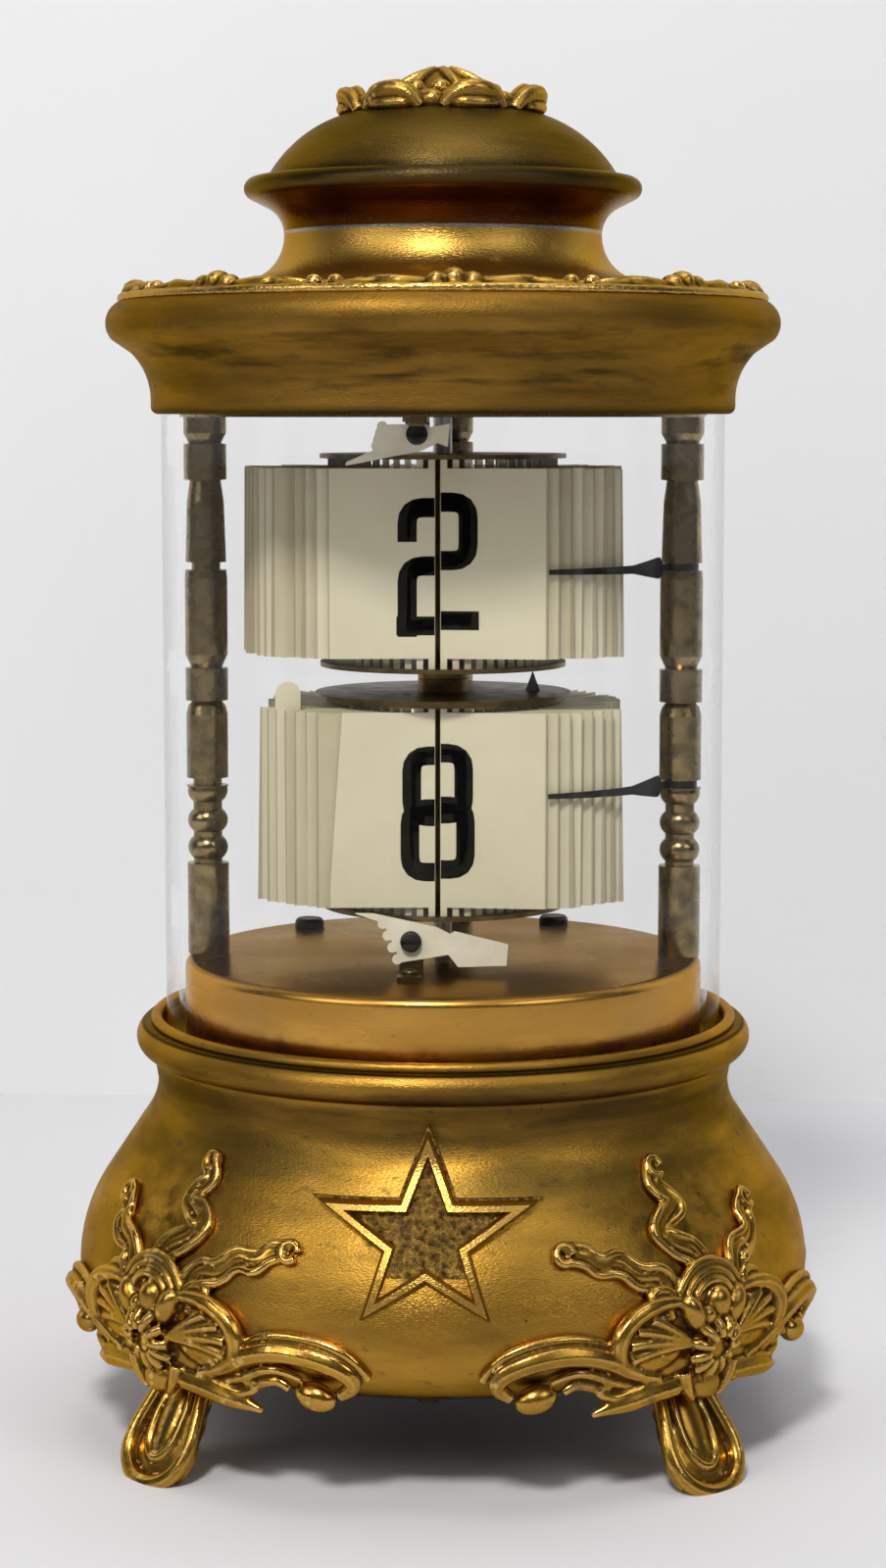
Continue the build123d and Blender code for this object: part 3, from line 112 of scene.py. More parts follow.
class Shade:
    """A number or colour in a material's nodes, so that sums of shades read as sums."""

    def __init__(self, tree, socket):
        self.tree = tree
        self.socket = socket

    def node(self, kind, sockets, output=0, **settings):
        """A node of that kind, its settings first, then the values or links of its sockets."""
        made = self.tree.nodes.new("ShaderNode" + kind)
        for name, value in settings.items():
            setattr(made, name, value)
        for name, value in sockets.items():
            if isinstance(value, Shade):
                self.tree.links.new(value.socket, made.inputs[name])
            else:
                made.inputs[name].default_value = value
        return Shade(self.tree, made.outputs[output])

    def sum_with(self, operation, other):
        """This number and another put together by a Math node's operation."""
        return self.node("Math", {0: self, 1: other}, operation=operation)

    def __add__(self, other):
        return self.sum_with("ADD", other)

    def __mul__(self, other):
        return self.sum_with("MULTIPLY", other)

    def __sub__(self, other):
        return self.sum_with("SUBTRACT", other)

    def __rsub__(self, other):
        return self * -1 + other

    __radd__ = __add__
    __rmul__ = __mul__

    def size(self):
        """This number without its sign."""
        return self.node("Math", {0: self}, operation="ABSOLUTE")

    def spread(self, low, high):
        """0 at low and 1 at high, held at both ends."""
        return self.node("MapRange", {"Value": self, "From Min": low, "From Max": high})

    def cloud(self, scale, detail=4, stretch=(1, 1, 1)):
        """Noise over these coordinates, with a scale in lumps to the metre."""
        across = self.node("Mapping", {"Vector": self, "Scale": stretch})
        return self.node("TexNoise", {"Vector": across, "Scale": scale, "Detail": detail})

    def blend(self, first, second):
        """A colour that goes from first to second as this number goes from 0 to 1."""
        return self.node("Mix", {0: self, 6: first, 7: second}, output=2, data_type="RGBA")

    def band(self, low, full_low, full_high, high):
        """1 between two heights of these coordinates, in millimetres, fading to 0 at two others."""
        height = self.node("SeparateXYZ", {"Vector": self}, output="Z") * (1 / MM)
        return height.spread(low, full_low) * height.spread(high, full_high)

    def bump(self, height):
        """A surface normal from this number as a height in metres."""
        return self.node("Bump", {"Height": self, "Distance": height, "Strength": 1.0})


def new_material(name):
    """A material, its shader node and the object's own coordinates."""
    made = bpy.data.materials.new(name)
    made.use_nodes = True
    shader = made.node_tree.nodes["Principled BSDF"]
    where = Shade(made.node_tree, None).node("TexCoord", {}, output="Object")
    return made, shader, where


def feed(shader, **values):
    """Sets a shader's sockets from shades or plain values; a socket's name is spelt with underscores."""
    for name, value in values.items():
        socket = shader.inputs[name.replace("_", " ")]
        if isinstance(value, Shade):
            value.tree.links.new(value.socket, socket)
        else:
            socket.default_value = value


def gilt(name, bright, dull, worn, rough, wear, streak=6, ridged=0.0, grained=0.05, tints=None):
    """Gilded brass: bright gold that dulls in broad patches, with dark worn spots and a spun grain.

    streak draws the patches out level, ridged darkens hollows and brightens edges, grained is a height
    in millimetres, and tints gives rows of a share, a colour and a change of roughness.
    """
    made, shader, where = new_material(name)
    ridge = where.node("NewGeometry", {}, output="Pointiness")
    broad = where.cloud(55, 5, (1, 1, streak / 2)).spread(0.38, 0.66)
    spun = where.cloud(160, 5, (1, 1, streak)).spread(0.35, 0.7)
    spots = where.cloud(420, 6, (1, 1, 2)).spread(0.72 - wear, 0.80 - wear / 2)
    specks = where.cloud(1900, 3).spread(0.70, 0.76)
    hollow = ridge.spread(0.500, 0.474) * ridged
    edge = ridge.spread(0.508, 0.540) * ridged
    colour = (broad * 0.75 + spun * 0.25).blend(bright, dull)
    colour = (spots * 0.75).blend(colour, worn)
    roughness = rough + broad * 0.12 + spots * 0.12 + hollow * 0.2 - edge * 0.1
    for share, tint, change in tints(where) if tints else ():
        colour = share.blend(colour, tint)
        roughness = roughness + share * change
    colour = (hollow * 0.9).blend(colour, umber)
    colour = (specks * 0.7).blend(colour, umber)
    colour = (edge * 0.6).blend(colour, bare_gold)
    feed(
        shader,
        Base_Color=colour,
        Metallic=1.0 - spots * 0.25 - hollow * 0.1,
        Roughness=roughness,
        Specular_Tint=gold_sheen,
    )
    if grained:
        feed(shader, Normal=where.cloud(2600, 2, (1, 1, 3)).bump(grained * MM))
    return made


def base_tints(where):
    """Painted shade in the neck and under the collar roll, a thin dark line in the collar's groove, olive
    tarnish on the upper belly, and dirt round the feet's sprays.
    """
    across, along = (where.node("SeparateXYZ", {"Vector": where}, output=axis) for axis in "XY")
    off_diagonal = (across.size() - along.size()).size()
    near_foot = off_diagonal.spread(19 * MM, 4 * MM) * where.band(9, 12, 28, 35)
    mottle = where.cloud(60, 5, (1, 1, 5)).spread(0.40, 0.62)
    dirt = where.cloud(420, 6).spread(0.42, 0.66)
    return (
        # painted shade and dark reflection in the neck under the collar roll, made uneven by the mottle cloud
        (where.band(34, 38.5, 40.2, 41.0) * (mottle * 0.5 + 0.45), (0.060, 0.034, 0.010, 1), 0.06),
        # painted shade on the underside of the collar roll
        (where.band(40.5, 40.9, 42.2, 43.4) * (mottle * 0.5 + 0.5), (0.050, 0.028, 0.012, 1), 0.0),
        (where.band(44.0, 44.2, 44.3, 44.6), (0.020, 0.011, 0.005, 1), 0.1),
        (where.band(28, 33, 36, 38) * mottle * 0.6, olive, 0.05),
        (near_foot * dirt * 0.8, (0.030, 0.022, 0.008, 1), 0.1),
    )


base_gilt = gilt("base_gilt", gold, dull_gold, olive, 0.33, 0.10, tints=base_tints)
base = turned(
    "base_bulb",
    base_gilt,
    [(mouth_radius, belly_height - foot_curve)]
    + bulb_profile(0)
    + arc(roll_centre, roll_height, roll_curve, -90, 58, 20)
    + arc(ring_centre, ring_height, ring_curve, -35, 180, 14)
    + [(bore_radius, seat_height), (shelf_radius, seat_height)]
    + [(shelf_radius, seat_height - shelf_thickness), (neck_radius - shell_wall, seat_height - shelf_thickness)]
    + bulb_profile(-shell_wall)[::-1]
    + [(mouth_radius, belly_height - foot_curve + shell_wall)],
    steps=192,
)
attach(base, "case")
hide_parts("base_shell")

# Bottom cover and hidden screws
# A plain disc of sheet brass screwed under the base, dulled and painted near black like its screws and the
# set knob, as painted shade for the dark under the base, with a steel winding arbor and key.


def metal(name, colour, dark, rough, scale=300, cover=(0.35, 0.75)):
    """A plain metal with faint clouds of tarnish."""
    made, shader, where = new_material(name)
    tarnish = where.cloud(scale, 5).spread(*cover)
    feed(
        shader,
        Base_Color=(tarnish * 0.9).blend(colour, dark),
        Metallic=1.0,
        Roughness=rough + tarnish * 0.15,
    )
    return made


def coat(material, *names):
    """Gives CAD nodes a material."""
    for name in names:
        nodes[name].data.materials.clear()
        nodes[name].data.materials.append(material)


plate_brass = metal("plate_brass", (0.36, 0.24, 0.075, 1), (0.13, 0.085, 0.028, 1), 0.34)
steel = metal("steel", (0.50, 0.49, 0.47, 1), (0.22, 0.20, 0.17, 1), 0.30)
# painted shade: these underside parts are darker than their own brass so that the shade under the base comes
# out deep
underside_shade_brass = metal("underside_shade_brass", (0.050, 0.034, 0.014, 1), (0.020, 0.014, 0.007, 1), 0.45)
coat(underside_shade_brass, "bottom_cover", "set_knob", "cover_screws", "foot_screws")
coat(steel, "winding_arbor", "winding_key")

# Feet
# Four gilded castings, each a leg with a spoon-shaped toe under a spray of acanthus, scrolls and
# tendrils that lies on the bulb. A left-hand and a right-hand pattern stand in mirrored pairs.

foot_azimuths = {"front_right": 45, "rear_right": 135, "rear_left": -135, "front_left": -45}
skirt_height = 13.6
toe_circle, toe_height, leg_lean = 40.0, 3.0, radians(30)
casting_grain, shell_ribs, cup_flutes = 0.18, 4, 11
ribbon_end, ruffle, ruffle_pitch = 0.6, 0.4, 2.2
bulb = bulb_profile(0)


def bulb_radius(z):
    """The bulb's radius at a height, and the skirt's radius below it."""
    z = max(z, skirt_height)
    for (low_radius, low), (high_radius, high) in zip(bulb, bulb[1:]):
        if low <= z <= high:
            return low_radius + (high_radius - low_radius) * (z - low) / max(high - low, 0.001)
    return neck_radius


def about_axis(turn, radius, z):
    """A point round the axis, counted from the front: an angle in radians, a radius and a height."""
    return Vector((radius * sin(turn), -radius * cos(turn), z)) * MM


def on_bulb(u, z, lift):
    """A point u along the belly and z up it, lifted off the bulb."""
    return about_axis(u / belly_radius, bulb_radius(z) + lift, z)


def on_leg(u, up, out):
    """A point of the leg's face: across it, up it from the toe and out of it."""
    radius = toe_circle - up * sin(leg_lean) + out * cos(leg_lean)
    return Vector((u, -radius, toe_height + up * cos(leg_lean) + out * sin(leg_lean))) * MM


def thick_curve(kind, count, radius, roundness):
    """A curve with one spline of so many points, thickened to a bar, and that spline."""
    curve = bpy.data.curves.new("bar", "CURVE")
    curve.dimensions = "3D"
    curve.bevel_depth = radius * MM
    curve.bevel_resolution = roundness
    curve.resolution_u = 5
    curve.use_fill_caps = True
    spline = curve.splines.new(kind)
    spline.points.add(count - 1)
    return curve, spline


def curve_mesh(curve):
    """The mesh of a thick curve, which is used up."""
    holder = bpy.data.objects.new("bar", curve)
    made = bpy.data.meshes.new_from_object(holder)
    bpy.data.objects.remove(holder)
    bpy.data.curves.remove(curve)
    return made


def add_bar(mesh, points, radii, place=on_bulb):
    """A round bar along a smooth line of points, its radius going evenly through the radii given."""
    curve, spline = thick_curve("NURBS", len(points), 1, 2)
    for k, point in enumerate(points):
        share = k / (len(points) - 1) * (len(radii) - 1)
        step = min(int(share), len(radii) - 2)
        spline.points[k].co = (*place(*point), 1)
        spline.points[k].radius = radii[step] + (radii[step + 1] - radii[step]) * (share - step)
    spline.order_u = 3
    spline.use_endpoint_u = True
    made = curve_mesh(curve)
    mesh.from_mesh(made)
    bpy.data.meshes.remove(made)


def add_blob(mesh, u, z, lift, size, place=on_bulb, turn=0):
    """A ball stretched across, up and out of the surface, turned in its plane by degrees."""
    step = 0.05
    middle = place(u, z, lift)
    across = (place(u + step, z, lift) - middle).normalized()
    out = (place(u, z, lift + step) - middle).normalized()
    up = out.cross(across)
    lie = Matrix((across, up, out)).transposed().to_4x4()
    stretch = Matrix.Diagonal((*(Vector(size) * MM), 1))
    shape = Matrix.Translation(middle) @ lie @ Matrix.Rotation(radians(turn), 4, "Z") @ stretch
    bmesh.ops.create_icosphere(mesh, subdivisions=3, radius=1, matrix=shape)


def ring_points(u, z, width, height, lift, start, end, count):
    """Points round part of an oval on a surface, from one angle to another in degrees."""
    turns = [radians(start + (end - start) * k / count) for k in range(count + 1)]
    return [(u + width * cos(turn), z + height * sin(turn), lift) for turn in turns]


def cast(name, mesh, grain):
    """One casting of all the bars and balls in a mesh, their joints softened, as finished mesh data."""
    rough = made_object(name, mesh)
    fused = rough.modifiers.new("fuse", "REMESH")
    fused.mode = "VOXEL"
    fused.voxel_size = grain * MM
    smooth = rough.modifiers.new("soften", "SMOOTH")
    smooth.factor = 0.5
    smooth.iterations = 2
    bpy.context.view_layer.update()
    seen = rough.evaluated_get(bpy.context.evaluated_depsgraph_get())
    done = bpy.data.meshes.new_from_object(seen)
    bpy.data.objects.remove(rough)
    return done


def beside(points, off, drop):
    """A line moved sideways in its surface, less and less towards its end, and sunk."""
    moved = []
    for k, (u, z, lift) in enumerate(points):
        before, after = points[max(k - 1, 0)], points[min(k + 1, len(points) - 1)]
        along = Vector((after[0] - before[0], after[1] - before[1])).normalized()
        reach = off * (1 - (1 - ribbon_end) * k / (len(points) - 1))
        moved.append((u - along.y * reach, z + along.x * reach, lift - drop))
    return moved


def add_ribbon(mesh, points, width, radius):
    """A ruffled ribbon: a sunk web and a cord along each edge, one up where the other is down."""
    for side in (-1, 0, 1):
        line = beside(points, side * width, 0.5 if side == 0 else 0)
        line = [(u, z, lift + ruffle * side * sin(ruffle_pitch * k)) for k, (u, z, lift) in enumerate(line)]
        thick = radius * 1.5 if side == 0 else radius
        add_bar(mesh, line, (thick, thick, thick * 0.8))


def add_arm(mesh, hand):
    """The acanthus arm along the foot of the bulb: a thick curled roll, a cord above it, leaves below."""
    roll = [(-6.5, 12.6), (-10.0, 13.6), (-13.0, 15.8), (-17.0, 16.9), (-21.5, 16.4)]
    roll += [(-24.6, 15.0), (-24.9, 13.2), (-23.2, 12.4)]
    cord = [(-7.5, 14.2), (-10.6, 15.2), (-13.6, 17.6), (-17.5, 18.4), (-21.8, 17.9)]
    cord += [(-25.2, 16.4), (-26.3, 14.2)]
    blade = [(-8.0, 11.9), (-11.5, 12.6), (-14.6, 14.3), (-17.0, 14.7), (-19.0, 13.6)]
    fold = [(-9.0, 11.0), (-12.0, 11.6), (-14.8, 13.0), (-16.6, 13.2), (-17.6, 12.4)]
    point = [(-4.0, 11.4), (-7.0, 11.3), (-10.0, 10.8), (-12.4, 10.3), (-14.4, 9.7)]
    hook = [(-9.6, 10.9), (-12.2, 11.4), (-13.8, 11.9), (-13.6, 12.7), (-12.4, 12.6)]
    lines = (
        (roll, 0.9, (0.7, 1.2, 1.3, 1.1, 0.7)),
        (cord, 0.5, (0.4, 0.55, 0.6, 0.5)),
        (blade, 0.7, (0.5, 0.7, 0.6, 0.4)),
        (fold, 0.5, (0.5, 0.7, 0.5)),
        (point, 0.6, (1.2, 1.4, 0.3)),
        (hook, 0.9, (0.6, 0.5, 0.4)),
    )
    for points, lift, radii in lines:
        add_bar(mesh, [(hand * u, z, lift) for u, z in points], radii)
    add_bar(mesh, [(hand * u, z + 1.0, 1.2) for u, z in point[:4]], (0.3, 0.45, 0.25))
    add_blob(mesh, hand * -20.6, 12.0, 0.7, (2.3, 1.5, 1.4), turn=hand * 14)
    add_blob(mesh, hand * -13.0, 14.0, 0.0, (4.5, 2.2, 0.9), turn=hand * -20)


def add_leg(mesh):
    """The leg that sweeps out to a round toe: a thick rim, a hollow and a raised tongue."""
    for up, half in ((-0.2, 4.7), (2.5, 4.3), (5.0, 3.8), (7.5, 3.4), (10.0, 3.2), (12.5, 3.2)):
        add_blob(mesh, 0, up, -0.5, (half, max(half, 3.4), 1.4), on_leg)
    side = [(3.4, 12.5), (3.1, 9.5), (3.4, 6.5), (4.1, 3.5), (4.7, 0.9), (4.4, -1.7)]
    rim = side + [(2.6, -3.6), (0, -4.3), (-2.6, -3.6)] + [(-u, up) for u, up in side[::-1]]
    add_bar(mesh, [(u, up, 0.7) for u, up in rim], (0.75, 0.85, 1.0, 0.85, 0.75), on_leg)
    add_blob(mesh, 0, 4.6, 0.5, (1.7, 5.6, 0.7), on_leg)
    edge = [(1.5, 10.5), (1.8, 6.5), (2.2, 3.0), (2.0, 0.4), (1.1, -1.1)]
    edge = edge + [(0, -1.5)] + [(-u, up) for u, up in edge[::-1]]
    add_bar(mesh, [(u, up, 0.75) for u, up in edge], (0.35, 0.5, 0.35), on_leg)


def add_shell(mesh, hand):
    """The half shell beside the cup: a rolled edge and wavy ribs that run in to the middle."""
    add_blob(mesh, hand * -7.4, 17.0, -0.1, (4.4, 3.5, 1.0))
    roll = ring_points(-6.2, 16.8, 6.0, 4.0, 0.9, 55, 235, 9)
    add_bar(mesh, [(hand * u, z, lift) for u, z, lift in roll], (0.5, 1.0, 1.05, 0.6))
    for rib in range(shell_ribs):
        turn = radians(112 + 32 * rib)
        far = (-6.4 + 4.3 * cos(turn), 16.6 + 2.9 * sin(turn))
        middle = ((far[0] - 3.0) / 2 - 0.6, (far[1] + 16.0) / 2 + 0.7)
        path = ((far, 0.7), (middle, 1.0), ((-3.0, 16.0), 1.3))
        line = [(hand * u, z, lift) for (u, z), lift in path]
        add_bar(mesh, line, (0.6, 0.55, 0.4))


def add_cup(mesh, z, size, lift):
    """The open flower over the leg: a fluted cup with a deep middle."""
    add_blob(mesh, 0, z, lift - 1.4, (size * 0.9, size * 0.9, 1.2))
    for flute in range(cup_flutes):
        turn = 2 * pi * flute / cup_flutes
        line = []
        for r, up in ((0.42, 0.2), (0.75, 0.3), (1.0, -0.7)):
            line.append((r * size * cos(turn), z + r * size * sin(turn), lift + up))
        add_bar(mesh, line, (0.4, 0.62, 0.6))


def foot_casting(hand):
    """A whole foot facing the front; hand, 1 or -1, mirrors its three tendrils."""
    mesh = bmesh.new()
    for side in (-1, 1):
        add_arm(mesh, side)
        add_shell(mesh, side)
        add_blob(mesh, side * 3.0, 19.2, 1.0, (1.3, 2.2, 1.3), turn=side * -28)
        stem = [(side * 3.6, 12.9, 1.3), (side * 3.2, 10.9, 1.3), (side * 1.8, 9.4, 0.8)]
        add_bar(mesh, stem, (0.9, 0.9, 0.4))
        loop = ring_points(side * 6.6, 20.6, 1.7, 1.5, 0.7, 90 + side * 60, 90 - side * 200, 8)
        add_bar(mesh, loop, (0.6, 0.5, 0.4))
    add_blob(mesh, 0.6, 19.8, 1.1, (1.6, 1.8, 1.3))
    add_blob(mesh, -1.3, 18.8, 1.2, (1.0, 1.1, 1.0))
    arches = ((4.8, 4.0, 0.75), (3.8, 3.1, 0.6), (2.8, 2.2, 0.55))
    for rank, (width, height, thick) in enumerate(arches):
        arch = ring_points(0, 20.0, width, height, 0.9 + 0.2 * rank, 4, 176, 8)
        add_bar(mesh, arch, (0.35, thick, 0.35))
    add_cup(mesh, 15.2, 3.1, 2.2)
    for u, z, width in ((0, 14.0, 7.5), (-5.5, 14.0, 4.5), (5.5, 14.0, 4.5), (0, 19.5, 5.0)):
        add_blob(mesh, u, z, 0.0, (width, 4.2, 0.9))
    add_blob(mesh, 0, 11.0, 0.8, (2.2, 1.8, 1.2))
    low = [(-4.2, 19.4), (-5.0, 21.6), (-6.3, 23.4), (-8.9, 23.3)]
    low += [(-10.7, 25.3), (-13.3, 24.8), (-14.8, 26.4), (-17.0, 26.4)]
    tall = [(0.0, 23.0), (-0.4, 24.8), (-3.0, 25.8), (-5.0, 27.4), (-3.0, 28.6)]
    tall += [(-0.4, 29.4), (-2.0, 30.8), (-3.4, 31.8), (-1.8, 33.2)]
    outer = [(4.6, 20.8), (5.0, 22.8), (5.8, 24.2), (8.4, 24.6), (9.8, 25.8), (9.6, 27.2), (11.6, 28.2)]
    for points in (low, tall, outer):
        line = [(hand * u, z, 0.5) for u, z in points]
        add_ribbon(mesh, line, 1.3, 0.55)
        curl = ring_points(line[-1][0], line[-1][1], 1.0, 0.9, 0.6, 0, 320, 8)
        add_bar(mesh, curl, (0.5, 0.5))
    add_leg(mesh)
    return cast("foot", mesh, casting_grain)


def sliced(mesh, point, normal, **cleared):
    """Cuts a mesh at a plane, drops the side that is cleared and closes the cut."""
    everything = mesh.verts[:] + mesh.edges[:] + mesh.faces[:]
    cut = bmesh.ops.bisect_plane(mesh, geom=everything, plane_co=point, plane_no=normal, **cleared)
    rim = [part for part in cut["geom_cut"] if isinstance(part, bmesh.types.BMEdge)]
    bmesh.ops.holes_fill(mesh, edges=rim)


cast_bright, cast_dull = (0.56, 0.305, 0.046, 1), (0.21, 0.11, 0.017, 1)
cast_gilt = gilt("cast_gilt", cast_bright, cast_dull, olive, 0.22, 0.16, 1, 1.0, grained=0.01)
castings = {1: foot_casting(1), -1: foot_casting(-1)}
for place, azimuth in foot_azimuths.items():
    hand = 1 if place in ("front_right", "rear_left") else -1
    copy = bmesh.new()
    copy.from_mesh(castings[hand])
    sliced(copy, (0, 0, 0), (0, 0, 1), clear_inner=True)
    turn = Matrix.Rotation(radians(azimuth), 3, "Z")
    bmesh.ops.rotate(copy, verts=copy.verts, cent=(0, 0, 0), matrix=turn)
    foot = made_object("foot_casting_" + place, copy, cast_gilt, 60)
    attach(foot, "case")
    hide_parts("foot_" + place)

# Star
# A cast five-point frame with a polished face, soldered to the front of the bulb over a matted floor, ringed by
# a thin dark band that is a painted shadow line along its edge.

star_radius, star_waist, star_inner, star_height = 11.3, 0.40, 0.74, 28.4
star_relief, star_floor, star_root, star_squash, star_tilt = 1.3, 0.45, -0.6, 0.86, 0.10


def star_outline(scale):
    """The ten corners of the star, a point upwards, across and up from its middle."""
    corners = []
    for k in range(10):
        reach = star_radius * scale * (1 if k % 2 == 0 else star_waist)
        turn = radians(90 + 36 * k)
        corners.append((reach * cos(turn), reach * sin(turn)))
    return corners


def star_solid(name, material, rings, filled=False):
    """Star outlines joined one after another, as a frame or filled, then lowered on to the bulb."""
    mesh = bmesh.new()
    loops = []
    for scale, lift in rings:
        loop = [mesh.verts.new((u * MM, z * MM, lift * MM)) for u, z in star_outline(scale)]
        loops.append([mesh.edges.new(pair) for pair in zip(loop, loop[1:] + loop[:1])])
    for first, second in zip(loops, loops[1:]):
        bmesh.ops.bridge_loops(mesh, edges=first + second)
    if not filled:
        bmesh.ops.bridge_loops(mesh, edges=loops[-1] + loops[0])
    else:
        bmesh.ops.contextual_create(mesh, geom=loops[0])
        bmesh.ops.contextual_create(mesh, geom=loops[-1])
        bmesh.ops.triangulate(mesh, faces=[f for f in mesh.faces if len(f.verts) > 4])
    bmesh.ops.subdivide_edges(mesh, edges=mesh.edges, cuts=5, use_grid_fill=True)
    for vert in mesh.verts:
        u, z, lift = vert.co / MM
        height = star_height + z * star_squash
        turn = asin(u / (bulb_radius(height) + lift))
        vert.co = on_bulb(turn * belly_radius, height, lift + star_tilt * z)
    bmesh.ops.remove_doubles(mesh, verts=mesh.verts, dist=0.1 * weld)
    return made_object(name, mesh, material, 30)


star_bright, star_dull = (0.56, 0.34, 0.075, 1), (0.36, 0.21, 0.04, 1)
polished = gilt("polished_gilt", star_bright, star_dull, dull_gold, 0.27, 0.06, 1)
outside = [(1.06, star_root), (1.03, star_relief - 0.4), (0.97, star_relief)]
inside = [(0.80, star_relief), (star_inner, star_relief - 0.5), (0.72, star_root)]
star = star_solid("star_frame", polished, outside + inside)
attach(star, "case")
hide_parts("star_emblem")

matted, shader, where = new_material("matted_gilt")
pits = where.cloud(1500, 4).spread(0.3, 0.7)
feed(
    shader,
    Base_Color=pits.blend(umber, (0.34, 0.20, 0.04, 1)),
    Metallic=0.9,
    Roughness=0.55 - pits * 0.1,
    Normal=pits.bump(0.0003),
)
floor = star_solid("star_floor", matted, [(0.75, star_root), (0.75, star_floor)], True)
# painted shadow: a thin dark band in matted gilt round the frame's edge
shadow_outline = star_solid("star_shadow_outline", matted, [(1.10, star_root), (1.10, 0.05), (1.0, 0.10), (1.0, star_root)])
for piece in (floor, shadow_outline):
    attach(piece, "case")

# Plinth
# A drawn cup of satin brass inside the glass, its top edge polished round, with two black screws.

plinth_radius, plinth_top, plinth_wall, plinth_round, plinth_hole = 28.86, 51.4, 1.0, 1.0, 2.6


def plinth_tints(where):
    """The flat top is pinkish brown, tarnish with a painted dark reflection over it; the drawn side has stayed
    bright but for its foot.
    """
    dirt = where.cloud(300, 6, (1, 1, 2)).spread(0.50, 0.66)
    smear = where.cloud(70, 4).spread(0.40, 0.65)
    return (
        # painted reflection: the flat top darkened to pinkish brown for the dark reflection it shows, over its
        # tarnish
        (where.band(51.0, 51.35, 52, 53) * (smear * 0.2 + 0.75), (0.105, 0.064, 0.042, 1), 0.02),
        (where.band(42, 42.5, 44.5, 47.0) * dirt * 0.8, (0.070, 0.036, 0.012, 1), 0.1),
    )


satin_bright, satin_dull, satin_worn = (0.60, 0.32, 0.064, 1), (0.53, 0.275, 0.053, 1), (0.20, 0.09, 0.02, 1)
satin = gilt(
    "plinth_satin", satin_bright, satin_dull, satin_worn, 0.22, -0.1, 10, grained=0, tints=plinth_tints
)
plinth = turned(
    "plinth_cup",
    satin,
    [(plinth_radius, seat_height)]
    + arc(plinth_radius - plinth_round, plinth_top - plinth_round, plinth_round, 0, 90, 8)
    + [(plinth_hole, plinth_top), (plinth_hole, plinth_top - plinth_wall)]
    + [(plinth_radius - plinth_wall, plinth_top - plinth_wall), (plinth_radius - plinth_wall, seat_height)],
)
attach(plinth, "case")
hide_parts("plinth")

black, shader, where = new_material("black_steel")
dust = where.cloud(700, 5).spread(0.4, 0.8)
feed(
    shader,
    Base_Color=dust.blend((0.003, 0.003, 0.003, 1), (0.013, 0.011, 0.009, 1)),
    Roughness=0.34 + dust * 0.2,
    Specular_IOR_Level=0.3,
)
coat(black, "plinth_screws", "hour_finger", "minute_finger", "pivot_screws", "carry_tongue")

# Movement
# The plates, wheels and springs inside the base, hidden from outside: lacquered brass and bright steel,
# with the steel arbor, tie rod and screws above them.

coat(plate_brass, "lower_movement_plate", "upper_movement_plate", "movement_pillars", "main_wheel")
coat(plate_brass, "centre_wheel", "third_wheel", "fourth_wheel", "escape_wheel", "balance_wheel")
coat(steel, "mainspring", "spring_post", "click", "pallet_lever", "hairspring")
coat(steel, "centre_arbor", "tie_rod", "pillar_screws")

# Pillars
# Three turned brass posts between the plinth and the top plate, dull and brown with age.

pillar_bright, pillar_dark = (0.34, 0.25, 0.11, 1), (0.070, 0.056, 0.032, 1)
pillar_brass = metal("pillar_brass", pillar_bright, pillar_dark, 0.20, 560, (0.30, 0.72))
coat(pillar_brass, "pillar_left", "pillar_right", "pillar_back", "top_plate")

# Glass
# A drawn glass cylinder, its ends cut square, standing in the collar and held under the canopy.

glass_radius, glass_bore, glass_top = 31.0, 29.6, 114.9
glass, shader, where = new_material("glass")
edge = where.node("LayerWeight", {"Blend": 0.25}, output="Facing")
smear = where.cloud(90, 4, (1, 1, 0.4)).spread(0.45, 0.8)
feed(
    shader,
    Base_Color=(0.98, 0.99, 0.99, 1),
    Roughness=smear * 0.04 + 0.01,
    IOR=1.45,
    Transmission_Weight=1.0,
    Alpha=edge.spread(0.42, 0.92) * 0.8 + 0.02,
)
cylinder = turned(
    "glass_tube",
    glass,
    [(glass_radius, seat_height), (glass_radius, glass_top)]
    + [(glass_bore, glass_top), (glass_bore, seat_height)],
    steps=192,
)
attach(cylinder, "case")
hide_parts("glass_cylinder")

# Drum discs and hubs
# Thin brass discs pierced for the leaves' tabs, turned brown, on short brass hubs over a steel arbor.

disc_brass = metal("disc_brass", (0.16, 0.11, 0.04, 1), (0.06, 0.042, 0.018, 1), 0.34, 420)
coat(disc_brass, "minute_lower_disc", "minute_upper_disc", "minute_cover_disc")
coat(disc_brass, "hour_lower_disc", "hour_upper_disc")
coat(plate_brass, "minute_hub", "hour_hub")

# Leaves
# Two drums of sixty celluloid leaves, ivory with a painted shadow line along each free edge and a little
# bowed, each hung by two tabs in its discs. The front leaf of a drum is a piece of its own.

leaf_count, hinge_circle, leaf_reach, leaf_thickness = 60, 12.4, 11.14, 0.18
leaf_step = 360 / leaf_count
tab_half, tab_root = 0.36, 0.1
tab_width, tab_depth, stem_depth = 1.96 * tab_half, 0.96 * leaf_thickness, 0.9 * leaf_thickness
minute_leaves = {"low": 58.5, "high": 79.7, "tab_low": 57.1, "tab_high": 80.2, "ear": 54, "askew": 1.5}
hour_leaves = {"low": 85.5, "high": 105.85, "tab_low": 83.9, "tab_high": 107.3, "ear": None, "askew": 0.0}
